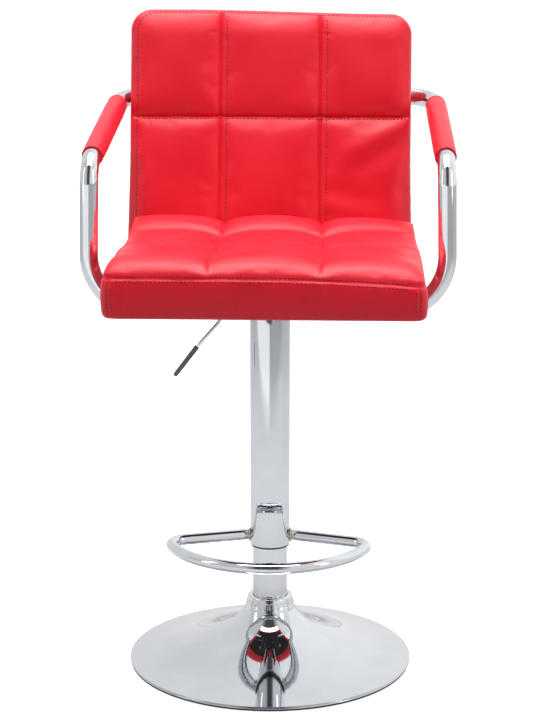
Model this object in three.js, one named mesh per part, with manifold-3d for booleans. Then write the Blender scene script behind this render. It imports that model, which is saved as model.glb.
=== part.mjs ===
// Height-adjustable swivel bar stool: a pressed trumpet base with a gas-lift column, and a
// quilted seat and back on one bent plywood shell with tubular arms and a footrest.
// Millimetres, +Z up. X = Y = 0 is the column's axis, Z = 0 is the floor, the front faces -Y.
// The stool stands at its lowest height, with the seat facing forward.
import * as THREE from 'three';
import { mergeVertices } from 'three/addons/utils/BufferGeometryUtils.js';
import Module from 'manifold-3d';

const wasm = await Module();
wasm.setup();

// ---------- Driving dimensions, in millimetres and degrees ----------

// Clearances
const FIT = 0.3; // between pieces that touch
const SLIDE = 0.4; // radial, between pieces that slide or turn in each other
const PAD_RELIEF = 0.8; // between the foam and a tube that presses into it

// Base
const BASE_DIAMETER = 410;
const FLOOR_PAD = 2.7;
const RIM_LIP = 2;
const TRUMPET_SKIN = 2.5;
const RIM_SLOPE = 5;
const THROAT_SLOPE = 28.5;
const NECK_SLOPE = 60;
const NECK_RADIUS = 34;
const NECK_HEIGHT = 78;
const THROAT_OUT = 33; // the throat's distance out from the neck
const THROAT_DOWN = 33.5; // and down from it
const BALLAST_THICK = 9;
const HUB_HEIGHT = 52;
const HUB_WALL = 4.5;

// Collar that hides the neck
const COLLAR_SKIRT = 3;
const COLLAR_RISE = 20;
const COLLAR_FOOT_RADIUS = 37.5;
const COLLAR_SHOULDER_RADIUS = 32.4;
const COLLAR_ROUND = 2;
const NOTCH_COUNT = 28;
const NOTCH = { width: 4.5, height: 7, depth: 0.8, above: 9 };

// Column
const LOWER_COLUMN_DIAMETER = 50;
const LOWER_COLUMN_WALL = 2;
const LOWER_COLUMN_FOOT = 8;
const FOOT_TAPER = 1; // the lower column's radius shrinks by this at its foot
const OUTER_COLUMN_DIAMETER = 57;
const OUTER_COLUMN_WALL = 1.5;
const OUTER_COLUMN_FOOT = 175;
const COLUMN_OVERLAP = 85; // between the lower column's top and the head's spigot
const GLIDE_LENGTH = 26;
const BUSH_LENGTH = 65;

// Gas lift
const TRAVEL = 210;
const CYLINDER_DIAMETER = 28;
const CYLINDER_WALL = 2;
const CYLINDER_FOOT = 45;
const CYLINDER_TAPER = 0.9;
const END_GUIDE = 18;
const ROD_DIAMETER = 10;
const ROD_PIN_DIAMETER = 8;
const PISTON_LENGTH = 10;
const RACE = 1.6; // thickness of a thrust race
const BALL_CAGE = 3;
const FLOOR_PLATE = 6;

// Seat unit
const SEAT_HEIGHT = 541; // underside of the seat above the floor
const SEAT_WIDTH = 420;
const BACK_WIDTH = SEAT_WIDTH - 8;
const SEAT_FRONT = -195;
const SEAT_THICK = 73;
const SEAM_HEIGHT = 50; // front seam above the underside
const CREST = 15; // rise of the cushion where it meets the back
const BACK_HEIGHT = 395; // top of the back above the underside
const BACK_LEAN = 11.3;
const BACK_FRONT = 108; // front plane of the back, at the height of the underside
const BACK_THICK = 50;
const BACK_CORNER = 30;
const HEEL = 45; // tangent length of the heel's curve
const PAD_EDGE = 13;
const COVER = 1;
const REAR_COVER = 2.5;
const BOARD_THICK = 12;
const BOARD_INSET = 22; // foam beyond the board's edges
const BOARD_FRONT_INSET = 18;

// Seat plate and lever housing
const PLATE = { width: 200, depth: 170, thick: 2.5, corner: 20 };
const PLATE_SCREW_EDGE = 18;
const HOUSING = { width: 96, depth: 70, height: 22.3, wall: 2.5 };
const HEAD = { radius: 38, flange: 5, spigot: 20 };
const PIVOT_LEFT = 24; // the lever's pivot from the column's axis
const PIVOT_DOWN = 11; // and below the seat's underside
const PIVOT_DIAMETER = 5;
const LEVER_DIAMETER = 5;
const BARREL = { radius: 5, length: 14 };
const GRIP = { length: 54, butt: 3.75, tip: 3, bore: 4 };
const PIN_DIAMETER = 8;
const PIN_GAP = 0.7; // between the release pin and the lever above it

// Footrest
const FOOTREST_DIAMETER = 16;
const FOOTREST_ABOVE = 11; // its height above the outer column's foot
const FOOTREST_HALF_WIDTH = 146; // to the point where leg and front would meet
const FOOTREST_CORNER_FORWARD = -34;
const FOOTREST_LEG_BACK = 7; // where the legs meet the column
const FOOTREST_BEND = 24;
const FOOTREST_SWING = 68; // half the angle of the front arc
const FOOTREST_STRAIGHT = 4; // between corner bend and front arc

// Arms
const ARM_DIAMETER = 25;
const ARM_WALL = 1.5;
const ARM_GAP = 22.5; // between the seat's side and the tube
const ARM_FORWARD = -80;
const ARM_LEAN_IN = { front: 4, rear: 8 };
const ARM_FRONT_HEIGHT = 190; // front corner above the underside
const ARM_REAR_HEIGHT = 271;
const ARM_BEND = { seat: 75, front: 35, rear: 40 };
const ARM_ENTRY_SLOPE = 28; // the lower bend stops at this slope and goes flat
const ARM_ENTRY = 7; // round tube left before the flat at the seat
const ARM_EXIT = 8; // and at the back
const ARM_PLUG = 5; // the bore ends this far inside the round tube
const DRAIN_RADIUS = 2.5;
const ARM_BEND_HEIGHT = 62; // centre of the lower bend above the underside
const ARM_FLAT = { thick: 9, width: 33, reach: 62 };
const ARM_END_GAP = 14; // from the seat plate's edge to the flattened end
const SLEEVE = { wall: 2.5, front: 30, rear: 36 };
const SCREW = { shank: 2.9, hole: 3.2, head: 5.5, headHeight: 3, bite: 9 };

// Facets
const TURN = 36;
const ROUND = 12;

// ---------- Colours ----------

const finish = (color, roughness, metalness) =>
  new THREE.MeshStandardMaterial({ color, roughness, metalness });
const CHROME = finish('#c6c9cd', 0.12, 1);
const STEEL = finish('#8d9196', 0.4, 1);
const BLACK_STEEL = finish('#232326', 0.5, 0.3);
const IRON = finish('#4b4c4e', 0.8, 0.4);
const RUBBER = finish('#161617', 0.9, 0);
const NYLON = finish('#1d1d1f', 0.5, 0);
const RED = finish('#d8262e', 0.45, 0);
const CLOTH = finish('#1b1b1d', 0.95, 0);
const PLYWOOD = finish('#c49a63', 0.7, 0);

// ---------- Geometry helpers ----------

const rad = THREE.MathUtils.degToRad;
const slope = (angle) => Math.tan(rad(angle));

function piece(name, geometry, material, place) {
  const mesh = new THREE.Mesh(geometry, material);
  mesh.name = name;
  if (place) {
    mesh.applyMatrix4(place);
  }
  return mesh;
}

// A BufferGeometry as a manifold solid.
function solid(geometry) {
  const bare = geometry.clone();
  bare.deleteAttribute('normal');
  bare.deleteAttribute('uv');
  const merged = mergeVertices(bare, 1e-4);
  const vertProperties = Float32Array.from(merged.attributes.position.array);
  const triVerts = Uint32Array.from(merged.index.array);
  return new wasm.Manifold(new wasm.Mesh({ numProp: 3, vertProperties, triVerts }));
}

// A manifold solid as a BufferGeometry.
function shaped(manifold) {
  const mesh = manifold.getMesh();
  const geometry = new THREE.BufferGeometry();
  geometry.setAttribute('position', new THREE.BufferAttribute(mesh.vertProperties, 3));
  geometry.setIndex(new THREE.BufferAttribute(mesh.triVerts, 1));
  return geometry;
}

function subtractAll(start, cutters) {
  return cutters.reduce((body, cutter) => body.subtract(solid(cutter)), start);
}

function polygonArea(points) {
  return points.reduce((sum, [x, y], i) => {
    const [nextX, nextY] = points[(i + 1) % points.length];
    return sum + (x * nextY - nextX * y) / 2;
  }, 0);
}

// A turned piece from a closed profile of [radius, z] points.
function turned(profile, segments = TURN) {
  const loop = polygonArea(profile) < 0 ? [...profile].reverse() : profile;
  const axial = loop.findIndex(
    ([r], i) => r === 0 && loop[(i + loop.length - 1) % loop.length][0] === 0,
  );
  const ordered = axial < 0 ? [...loop, loop[0]] : [...loop.slice(axial), ...loop.slice(0, axial)];
  const points = ordered.map(([r, z]) => new THREE.Vector2(r, z));
  return new THREE.LatheGeometry(points, segments).rotateX(Math.PI / 2);
}

// A ring or tube of rectangular section.
const ring = (inner, outer, bottom, top, segments) =>
  turned([[inner, bottom], [outer, bottom], [outer, top], [inner, top]], segments);

// A round cutter along Z.
const drill = (radius, bottom, top, segments = TURN) =>
  turned([[0, bottom], [radius, bottom], [radius, top], [0, top]], segments);

function shapeOf(points) {
  return new THREE.Shape(points.map(([x, y]) => new THREE.Vector2(x, y)));
}

// Points of the arc-like curve that leaves one point and reaches another at given slopes.
function tangentCurve([x0, y0], slope0, [x1, y1], slope1, divisions) {
  const x = (y1 - y0 + slope0 * x0 - slope1 * x1) / (slope0 - slope1);
  const corner = new THREE.Vector2(x, y0 + slope0 * (x - x0));
  const from = new THREE.Vector2(x0, y0);
  const to = new THREE.Vector2(x1, y1);
  const curve = new THREE.QuadraticBezierCurve(from, corner, to);
  return curve.getPoints(divisions).map((p) => [p.x, p.y]);
}

// A polyline moved to its left by a distance.
function offsetLine(points, distance) {
  const last = points.length - 1;
  return points.map(([x, y], i) => {
    const [ax, ay] = points[Math.max(i - 1, 0)];
    const [bx, by] = points[Math.min(i + 1, last)];
    const before = new THREE.Vector2(x - ax, y - ay);
    const after = new THREE.Vector2(bx - x, by - y);
    const along = (i === 0 ? after : i === last ? before : before.normalize().add(after.normalize()));
    along.normalize();
    return [x - along.y * distance, y + along.x * distance];
  });
}

// The closed outline between two offsets of a polyline.
const stripOutline = (line, near, far) => [
  ...offsetLine(line, near),
  ...offsetLine(line, far).reverse(),
];

// Turns an outline drawn as [y, z] into a slab across X, centred on X = 0.
const ACROSS = new THREE.Matrix4().makeBasis(
  new THREE.Vector3(0, 1, 0),
  new THREE.Vector3(0, 0, 1),
  new THREE.Vector3(1, 0, 0),
);
function acrossX(outline, halfWidth) {
  const options = { depth: 2 * halfWidth, bevelEnabled: false };
  const geometry = new THREE.ExtrudeGeometry(shapeOf(outline), options);
  return geometry.translate(0, 0, -halfWidth).applyMatrix4(ACROSS);
}

// A box between two corners.
function block([x0, y0, z0], [x1, y1, z1]) {
  const box = new THREE.BoxGeometry(x1 - x0, y1 - y0, z1 - z0);
  return box.translate((x0 + x1) / 2, (y0 + y1) / 2, (z0 + z1) / 2);
}

// A regular polygon on a circle, or around one.
function roundSection(radius, sides = ROUND, around = false) {
  const reach = around ? radius / Math.cos(Math.PI / sides) : radius;
  const points = [];
  for (let i = 0; i < sides; i += 1) {
    const angle = (2 * Math.PI * i) / sides;
    points.push([reach * Math.cos(angle), reach * Math.sin(angle)]);
  }
  return shapeOf(points);
}

// A circular bend in space, from a start point and direction towards its inner side.
class Bend extends THREE.Curve {
  constructor(start, along, inward, radius, angle) {
    super();
    Object.assign(this, { start, along, inward, radius, angle });
  }

  getPoint(t, target = new THREE.Vector3()) {
    const turn = this.angle * t;
    return target
      .copy(this.start)
      .addScaledVector(this.along, this.radius * Math.sin(turn))
      .addScaledVector(this.inward, this.radius * (1 - Math.cos(turn)));
  }
}

// Straights and bends in a row, with facets spent where the tube bends.
class Route extends THREE.Curve {
  constructor(legs) {
    super();
    this.legs = legs;
    this.steps = legs.reduce((sum, leg) => sum + leg.steps, 0);
  }

  getPoint(t, target = new THREE.Vector3()) {
    let station = t * this.steps;
    let index = 0;
    while (index < this.legs.length - 1 && station > this.legs[index].steps) {
      station -= this.legs[index].steps;
      index += 1;
    }
    const leg = this.legs[index];
    return leg.curve.getPoint(station / leg.steps, target);
  }

  getPointAt(u, target) {
    return this.getPoint(u, target);
  }

  getTangentAt(u, target) {
    return this.getTangent(u, target);
  }
}

// A route through corner points, each rounded to its bend radius.
function roundedRoute(corners, radii, bendSteps) {
  const points = corners.map((p) => new THREE.Vector3(...p));
  const legs = [];
  let from = points[0];
  radii.forEach((radius, i) => {
    const corner = points[i + 1];
    const along = corner.clone().sub(points[i]).normalize();
    const leaving = points[i + 2].clone().sub(corner).normalize();
    const angle = along.angleTo(leaving);
    const cut = radius * Math.tan(angle / 2);
    const start = corner.clone().addScaledVector(along, -cut);
    const inward = leaving.clone().addScaledVector(along, -leaving.dot(along)).normalize();
    legs.push({ curve: new THREE.LineCurve3(from, start), steps: 1 });
    legs.push({ curve: new Bend(start, along, inward, radius, angle), steps: bendSteps[i] });
    from = corner.clone().addScaledVector(leaving, cut);
  });
  legs.push({ curve: new THREE.LineCurve3(from, points.at(-1)), steps: 1 });
  return new Route(legs);
}

const sweep = (section, route) =>
  new THREE.ExtrudeGeometry(section, { steps: route.steps, extrudePath: route });

// ---------- Heights that follow from the dimensions ----------

const RIM = BASE_DIAMETER / 2;
const RIM_BOTTOM = FLOOR_PAD + FIT;
const NECK_TOP = NECK_HEIGHT;
const LOWER_R = LOWER_COLUMN_DIAMETER / 2;
const LOWER_BORE = LOWER_R - LOWER_COLUMN_WALL;
const OUTER_R = OUTER_COLUMN_DIAMETER / 2;
const OUTER_BORE = OUTER_R - OUTER_COLUMN_WALL;
const CYLINDER_R = CYLINDER_DIAMETER / 2;
const ROD_R = ROD_DIAMETER / 2;
const ROD_PIN_R = ROD_PIN_DIAMETER / 2;
const PLATE_TOP = SEAT_HEIGHT - FIT;
const HOUSING_TOP = PLATE_TOP - PLATE.thick - FIT;
const HOUSING_FLOOR = HOUSING_TOP - HOUSING.height;
const HEAD_TOP = HOUSING_FLOOR - FIT;
const HEAD_SHOULDER = HEAD_TOP - HEAD.flange;
const OUTER_COLUMN_TOP = HEAD_SHOULDER - FIT;
const SPIGOT_FOOT = HEAD_SHOULDER - HEAD.spigot;
const LOWER_COLUMN_TOP = SPIGOT_FOOT - COLUMN_OVERLAP;
const CYLINDER_TOP = HOUSING_FLOOR + HOUSING.wall + 4;
const TAPER_FOOT = SPIGOT_FOOT - 20;
const FLOOR_PLATE_FOOT = LOWER_COLUMN_FOOT + 1; // floor plate inside the column's foot
const RACE_FOOT = FLOOR_PLATE_FOOT + FLOOR_PLATE + FIT;
const CAGE_FOOT = RACE_FOOT + RACE + FIT;
const UPPER_RACE_FOOT = CAGE_FOOT + BALL_CAGE + FIT;
const ROD_SHOULDER = UPPER_RACE_FOOT + RACE + FIT;
const PISTON_FOOT = CYLINDER_FOOT + TRAVEL + 2 + END_GUIDE + 3;

// Radius of the gas cylinder's outside at a height.
function cylinderRadius(z) {
  const share = (z - TAPER_FOOT) / (CYLINDER_TOP - TAPER_FOOT);
  return CYLINDER_R - CYLINDER_TAPER * Math.max(share, 0);
}

// ---------- Base ----------

// Outside of the trumpet as [radius, z] points from the rim to the neck.
function trumpetLine() {
  const rim = [RIM, RIM_BOTTOM + RIM_LIP];
  const throat = [NECK_RADIUS + THROAT_OUT, NECK_TOP - THROAT_DOWN];
  const neck = [NECK_RADIUS, NECK_TOP];
  const flare = tangentCurve(rim, -slope(RIM_SLOPE), throat, -slope(THROAT_SLOPE), 6);
  const rise = tangentCurve(throat, -slope(THROAT_SLOPE), neck, -slope(NECK_SLOPE), 5);
  return [...flare, ...rise.slice(1)];
}

// Height of the trumpet's inner face at a radius.
function underTrumpet(radius) {
  const line = offsetLine(trumpetLine(), TRUMPET_SKIN);
  const index = line.findIndex(([r]) => r <= radius);
  const [r0, z0] = line[Math.max(index - 1, 0)];
  const [r1, z1] = line[index];
  return r0 === r1 ? z1 : z0 + ((z1 - z0) * (r0 - radius)) / (r0 - r1);
}

function trumpetBase() {
  const outside = trumpetLine();
  const inside = offsetLine(outside, TRUMPET_SKIN).filter(([, z]) => z > RIM_BOTTOM);
  inside.shift();
  const profile = [[RIM, RIM_BOTTOM], ...outside, ...inside.reverse(), [RIM - TRUMPET_SKIN, RIM_BOTTOM]];
  return piece('trumpet_base', turned(profile), CHROME);
}

function floorPad() {
  const radius = RIM - 0.8;
  const profile = [[0, 0], [radius - 1, 0], [radius, 0.8], [radius, FLOOR_PAD], [0, FLOOR_PAD]];
  return piece('floor_pad', turned(profile), RUBBER);
}

function baseBallast() {
  const inner = LOWER_R + HUB_WALL + 8;
  const outer = RIM * 0.78;
  const bottom = RIM_BOTTOM;
  const edge = Math.min(underTrumpet(outer) - 1.5, bottom + BALLAST_THICK);
  const top = bottom + BALLAST_THICK;
  const full = outer - 30;
  const profile = [[inner, bottom], [outer, bottom], [outer, edge], [full, top], [inner, top]];
  return piece('base_ballast', turned(profile), IRON);
}

// Lower column's outside radius at a height: a tapered foot that wedges in the hub.
function footRadius(z) {
  const share = (LOWER_COLUMN_FOOT + HUB_HEIGHT - z) / HUB_HEIGHT;
  return LOWER_R - FOOT_TAPER * Math.max(share, 0);
}

function baseHub() {
  const foot = LOWER_COLUMN_FOOT;
  const top = foot + HUB_HEIGHT;
  const outer = LOWER_R + FIT + HUB_WALL;
  const profile = [
    [footRadius(foot) + FIT, foot],
    [outer + 6, foot],
    [outer + 6, foot + 4],
    [outer, foot + 8],
    [outer, top],
    [footRadius(top) + FIT, top],
  ];
  return piece('base_hub', turned(profile), STEEL);
}

function baseCollar() {
  const foot = NECK_TOP - COLLAR_SKIRT;
  const top = NECK_TOP + COLLAR_RISE;
  const bore = LOWER_R + SLIDE;
  const seat = NECK_TOP + SLIDE;
  const neckAtFoot = NECK_RADIUS + COLLAR_SKIRT / slope(NECK_SLOPE);
  const round = COLLAR_ROUND;
  const profile = [
    [COLLAR_FOOT_RADIUS, foot],
    [COLLAR_SHOULDER_RADIUS, top - round],
    [COLLAR_SHOULDER_RADIUS - 0.3 * round, top - 0.3 * round],
    [COLLAR_SHOULDER_RADIUS - round, top],
    [bore, top],
    [bore, seat],
    [NECK_RADIUS + SLIDE, seat],
    [neckAtFoot + SLIDE, foot],
  ];
  const body = solid(turned(profile));
  const flank = Math.atan2(COLLAR_FOOT_RADIUS - COLLAR_SHOULDER_RADIUS, top - round - foot);
  const middle = foot + NOTCH.above + NOTCH.height / 2;
  const surface = COLLAR_FOOT_RADIUS - Math.tan(flank) * (middle - foot);
  const cutters = [];
  for (let i = 0; i < NOTCH_COUNT; i += 1) {
    const notch = new THREE.BoxGeometry(2 * NOTCH.depth + 2, NOTCH.width, NOTCH.height);
    notch.translate(1, 0, 0).rotateY(-flank).translate(surface, 0, middle);
    cutters.push(notch.rotateZ((2 * Math.PI * (i + 0.5)) / NOTCH_COUNT));
  }
  return piece('base_collar', shaped(subtractAll(body, cutters)), CHROME);
}

function lowerColumn() {
  const foot = LOWER_COLUMN_FOOT;
  const shoulder = foot + HUB_HEIGHT;
  const profile = [
    [footRadius(foot), foot],
    [LOWER_R, shoulder],
    [LOWER_R, LOWER_COLUMN_TOP],
    [LOWER_BORE, LOWER_COLUMN_TOP],
    [LOWER_BORE, shoulder],
    [footRadius(foot) - LOWER_COLUMN_WALL, foot],
  ];
  return piece('lower_column', turned(profile), CHROME);
}

// Steel plate that closes the column's foot and carries the thrust bearing.
function columnFloorPlate() {
  const radius = footRadius(FLOOR_PLATE_FOOT) - LOWER_COLUMN_WALL - FIT;
  const plate = ring(ROD_PIN_R + FIT, radius, FLOOR_PLATE_FOOT, FLOOR_PLATE_FOOT + FLOOR_PLATE);
  return piece('column_floor_plate', plate, STEEL);
}

function guideBush() {
  const bore = CYLINDER_R + SLIDE;
  const foot = LOWER_COLUMN_TOP - BUSH_LENGTH;
  const under = LOWER_COLUMN_TOP + FIT;
  const profile = [
    [bore, foot],
    [LOWER_BORE - FIT, foot],
    [LOWER_BORE - FIT, under],
    [LOWER_R - 0.5, under],
    [LOWER_R - 0.5, under + 2.5],
    [bore, under + 2.5],
  ];
  return piece('guide_bush', turned(profile), NYLON);
}

function thrustBearing() {
  const bore = ROD_PIN_R + FIT;
  const outer = ROD_R + 6;
  return {
    lower: piece('bearing_race_lower', ring(bore, outer, RACE_FOOT, RACE_FOOT + RACE, 24), STEEL),
    cage: piece('bearing_ball_cage', ring(bore, outer, CAGE_FOOT, CAGE_FOOT + BALL_CAGE, 24), STEEL),
    upper: piece(
      'bearing_race_upper',
      ring(bore, outer, UPPER_RACE_FOOT, UPPER_RACE_FOOT + RACE, 24),
      STEEL,
    ),
  };
}

// ---------- Swivelling rod ----------

function pistonRod() {
  const tip = PISTON_FOOT + PISTON_LENGTH + 2;
  const neck = PISTON_FOOT - FIT;
  const profile = [
    [0, RIM_BOTTOM + 1],
    [ROD_PIN_R, RIM_BOTTOM + 1],
    [ROD_PIN_R, ROD_SHOULDER],
    [ROD_R, ROD_SHOULDER],
    [ROD_R, neck],
    [ROD_PIN_R, neck],
    [ROD_PIN_R, tip],
    [0, tip],
  ];
  return piece('piston_rod', turned(profile, 24), STEEL);
}

function piston() {
  const radius = CYLINDER_R - CYLINDER_WALL - FIT;
  const body = ring(ROD_PIN_R + FIT, radius, PISTON_FOOT, PISTON_FOOT + PISTON_LENGTH);
  return piece('piston', body, NYLON);
}

function rodClip() {
  const top = FLOOR_PLATE_FOOT - FIT;
  return piece('rod_clip', ring(ROD_PIN_R + FIT, ROD_R + 4, top - 2.4, top, 24), STEEL);
}

// ---------- Column parts that rise with the seat ----------

function gasCylinder() {
  const bore = CYLINDER_R - CYLINDER_WALL;
  const lidFoot = CYLINDER_TOP - 8;
  const pinBore = PIN_DIAMETER / 2 + SLIDE;
  const profile = [
    [CYLINDER_R, CYLINDER_FOOT],
    [CYLINDER_R, TAPER_FOOT],
    [cylinderRadius(CYLINDER_TOP), CYLINDER_TOP],
    [pinBore, CYLINDER_TOP],
    [pinBore, lidFoot],
    [bore - CYLINDER_TAPER, lidFoot],
    [bore, TAPER_FOOT],
    [bore, CYLINDER_FOOT],
  ];
  return piece('gas_cylinder', turned(profile), BLACK_STEEL);
}

function cylinderEndGuide() {
  const radius = CYLINDER_R - CYLINDER_WALL - FIT;
  const foot = CYLINDER_FOOT + 2;
  return piece('cylinder_end_guide', ring(ROD_R + SLIDE, radius, foot, foot + END_GUIDE), NYLON);
}

function outerColumn() {
  return piece('outer_column', ring(OUTER_BORE, OUTER_R, OUTER_COLUMN_FOOT, OUTER_COLUMN_TOP), CHROME);
}

// Plastic bush in the outer column's foot, with a lip that shows below the rim.
function glideBush() {
  const bore = LOWER_R + SLIDE;
  const lipTop = OUTER_COLUMN_FOOT - FIT;
  const profile = [
    [bore, lipTop - 2],
    [OUTER_R - 0.6, lipTop - 2],
    [OUTER_R - 0.6, lipTop],
    [OUTER_BORE - FIT, lipTop],
    [OUTER_BORE - FIT, lipTop + GLIDE_LENGTH],
    [bore, lipTop + GLIDE_LENGTH],
  ];
  return piece('glide_bush', turned(profile), NYLON);
}

// Flange that carries the outer column and holds the gas cylinder's taper.
function columnHead() {
  const profile = [
    [cylinderRadius(SPIGOT_FOOT) + FIT, SPIGOT_FOOT],
    [OUTER_BORE - FIT, SPIGOT_FOOT],
    [OUTER_BORE - FIT, HEAD_SHOULDER],
    [HEAD.radius, HEAD_SHOULDER],
    [HEAD.radius, HEAD_TOP],
    [cylinderRadius(HEAD_TOP) + FIT, HEAD_TOP],
  ];
  return piece('column_head', turned(profile), BLACK_STEEL);
}

// D-shaped foot ring whose ends are coped to the outer column.
function footrest() {
  const height = OUTER_COLUMN_FOOT + FOOTREST_ABOVE;
  const half = FOOTREST_HALF_WIDTH;
  const swing = rad(FOOTREST_SWING);
  const root = new THREE.Vector2(OUTER_R - FOOTREST_DIAMETER / 2, FOOTREST_LEG_BACK);
  const corner = new THREE.Vector2(half, FOOTREST_CORNER_FORWARD);
  const apex = new THREE.Vector2(0, corner.y - half * Math.tan(swing));
  const leg = corner.clone().sub(root);
  const front = apex.clone().sub(corner);
  const cornerCut = FOOTREST_BEND * Math.tan((leg.angle() - front.angle()) / 2);
  const frontCut = front.length() - cornerCut - FOOTREST_STRAIGHT;
  const frontRadius = frontCut / Math.tan(swing);
  const corners = [
    [-root.x, root.y, height],
    [-corner.x, corner.y, height],
    [apex.x, apex.y, height],
    [corner.x, corner.y, height],
    [root.x, root.y, height],
  ];
  const route = roundedRoute(corners, [FOOTREST_BEND, frontRadius, FOOTREST_BEND], [6, 14, 6]);
  const tube = solid(sweep(roundSection(FOOTREST_DIAMETER / 2), route));
  const column = drill(OUTER_R + FIT, height - FOOTREST_DIAMETER, height + FOOTREST_DIAMETER);
  return piece('footrest', shaped(tube.subtract(solid(column))), CHROME);
}

// ---------- Seat plate, housing and lever ----------

const PLATE_SCREW_X = PLATE.width / 2 - PLATE_SCREW_EDGE;
const PLATE_SCREW_Y = PLATE.depth / 2 - PLATE_SCREW_EDGE;
const PLATE_SCREWS = [-1, 1].flatMap((x) => [-1, 1].map((y) => [x * PLATE_SCREW_X, y * PLATE_SCREW_Y]));
const PIVOT_Z = SEAT_HEIGHT - PIVOT_DOWN;

function roundedRectangle(width, depth, corner) {
  const [x, y] = [width / 2 - corner, depth / 2 - corner];
  const shape = new THREE.Shape();
  [[x, y, 0], [-x, y, 90], [-x, -y, 180], [x, -y, 270]].forEach(([cx, cy, from]) => {
    shape.absarc(cx, cy, corner, rad(from), rad(from + 90), false);
  });
  return shape;
}

function seatPlate() {
  const shape = roundedRectangle(PLATE.width, PLATE.depth, PLATE.corner);
  const options = { depth: PLATE.thick, bevelEnabled: false, curveSegments: 4 };
  const sheet = new THREE.ExtrudeGeometry(shape, options).translate(0, 0, PLATE_TOP - PLATE.thick);
  const cutters = PLATE_SCREWS.map(([x, y]) =>
    drill(SCREW.hole, PLATE_TOP - 9, PLATE_TOP + 9, ROUND).translate(x, y, 0));
  cutters.push(drill(CYLINDER_R + 3, PLATE_TOP - 9, PLATE_TOP + 9));
  return piece('seat_plate', shaped(subtractAll(solid(sheet), cutters)), BLACK_STEEL);
}

// Pressed tray under the seat plate: the cylinder comes through its floor, the lever
// through its left wall, and the lever's pivot pin crosses it.
function controlHousing() {
  const [x, y] = [HOUSING.width / 2, HOUSING.depth / 2];
  const inner = HOUSING.wall;
  const tray = solid(block([-x, -y, HOUSING_FLOOR], [x, y, HOUSING_TOP]));
  const [roomX, roomY] = [x - inner, y - inner];
  const room = block([-roomX, -roomY, HOUSING_FLOOR + inner], [roomX, roomY, HOUSING_TOP + 9]);
  const cylinderHole = drill(CYLINDER_R + SLIDE, HOUSING_FLOOR - 9, HOUSING_FLOOR + 9);
  const slotHalf = LEVER_DIAMETER / 2 + 3.5;
  const slot = block([-x - 9, -slotHalf, HOUSING_FLOOR + inner], [-x + 9, slotHalf, HOUSING_TOP + 9]);
  const pivotHole = drill(PIVOT_DIAMETER / 2 + FIT, -y - 9, y + 9, ROUND);
  pivotHole.rotateX(Math.PI / 2).translate(-PIVOT_LEFT, 0, PIVOT_Z);
  const cutters = [room, cylinderHole, slot, pivotHole];
  return piece('control_housing', shaped(subtractAll(tray, cutters)), BLACK_STEEL);
}

function leverPivotPin() {
  const half = HOUSING.depth / 2;
  const pin = drill(PIVOT_DIAMETER / 2, -half, half, ROUND);
  pin.rotateX(Math.PI / 2).translate(-PIVOT_LEFT, 0, PIVOT_Z);
  return piece('lever_pivot_pin', pin, STEEL);
}

// The lever's bent rod, from above the release pin, over the pivot and down to the grip.
const LEVER_TIP = [6, 0, -6.5];
const LEVER_BENDS = [[-PIVOT_LEFT, 0, -PIVOT_DOWN], [-58, -2, -17], [-73, -3, -41], [-101, -5, -72]];
const GRIP_END = [-134, -6, -115];
const underSeat = ([x, y, z]) => [x, y, SEAT_HEIGHT + z];

function leverRod() {
  const grip = gripPlace();
  const inside = new THREE.Vector3(0, 0, GRIP.length - GRIP.bore - FIT).applyMatrix4(grip);
  const corners = [LEVER_TIP, ...LEVER_BENDS].map(underSeat);
  corners.push(inside.toArray());
  const route = roundedRoute(corners, [20, 14, 30, 30], [2, 4, 3, 2]);
  const rod = solid(sweep(roundSection(LEVER_DIAMETER / 2), route));
  const barrel = drill(BARREL.radius, -BARREL.length / 2, BARREL.length / 2, ROUND);
  const bore = drill(PIVOT_DIAMETER / 2 + SLIDE, -BARREL.length, BARREL.length, ROUND);
  const place = (g) => g.rotateX(Math.PI / 2).translate(-PIVOT_LEFT, 0, PIVOT_Z);
  return piece('lever_rod', shaped(rod.add(solid(place(barrel))).subtract(solid(place(bore)))), STEEL);
}

// Places +Z along the grip, from its open end to its closed end.
function gripPlace() {
  const from = new THREE.Vector3(...underSeat(LEVER_BENDS.at(-1)));
  const along = new THREE.Vector3(...underSeat(GRIP_END)).sub(from).normalize();
  const turn = new THREE.Quaternion().setFromUnitVectors(new THREE.Vector3(0, 0, 1), along);
  const start = from.addScaledVector(along, GRIP.bore);
  return new THREE.Matrix4().compose(start, turn, new THREE.Vector3(1, 1, 1));
}

function leverGrip() {
  const bore = LEVER_DIAMETER / 2 + FIT;
  const profile = [
    [bore, 0],
    [GRIP.butt, 0],
    [GRIP.tip + 0.4, GRIP.length - 1.5],
    [GRIP.tip - 1, GRIP.length],
    [0, GRIP.length],
    [0, GRIP.length - GRIP.bore],
    [bore, GRIP.length - GRIP.bore],
  ];
  return piece('lever_grip', turned(profile, 16), BLACK_STEEL, gripPlace());
}

// Button in the cylinder's lid that opens the gas valve.
function releasePin() {
  const top = SEAT_HEIGHT + LEVER_TIP[2] - LEVER_DIAMETER / 2 - PIN_GAP - 2;
  return piece('release_pin', drill(PIN_DIAMETER / 2, CYLINDER_TOP - 12, top, ROUND), STEEL);
}

// ---------- Seat and back, drawn from the underside of the seat ----------

const HALF_WIDTH = SEAT_WIDTH / 2;
const BOARD_HALF = Math.min(SEAT_WIDTH, BACK_WIDTH) / 2 - BOARD_INSET;
const LEAN = rad(BACK_LEAN);
const backFrontAt = (z) => BACK_FRONT + z * Math.tan(LEAN);
const backRearAt = (z) => backFrontAt(z) + BACK_THICK / Math.cos(LEAN);
const HEEL_Y = backRearAt(0) - HEEL;
const HEEL_Z = HEEL * Math.cos(LEAN);

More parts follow.
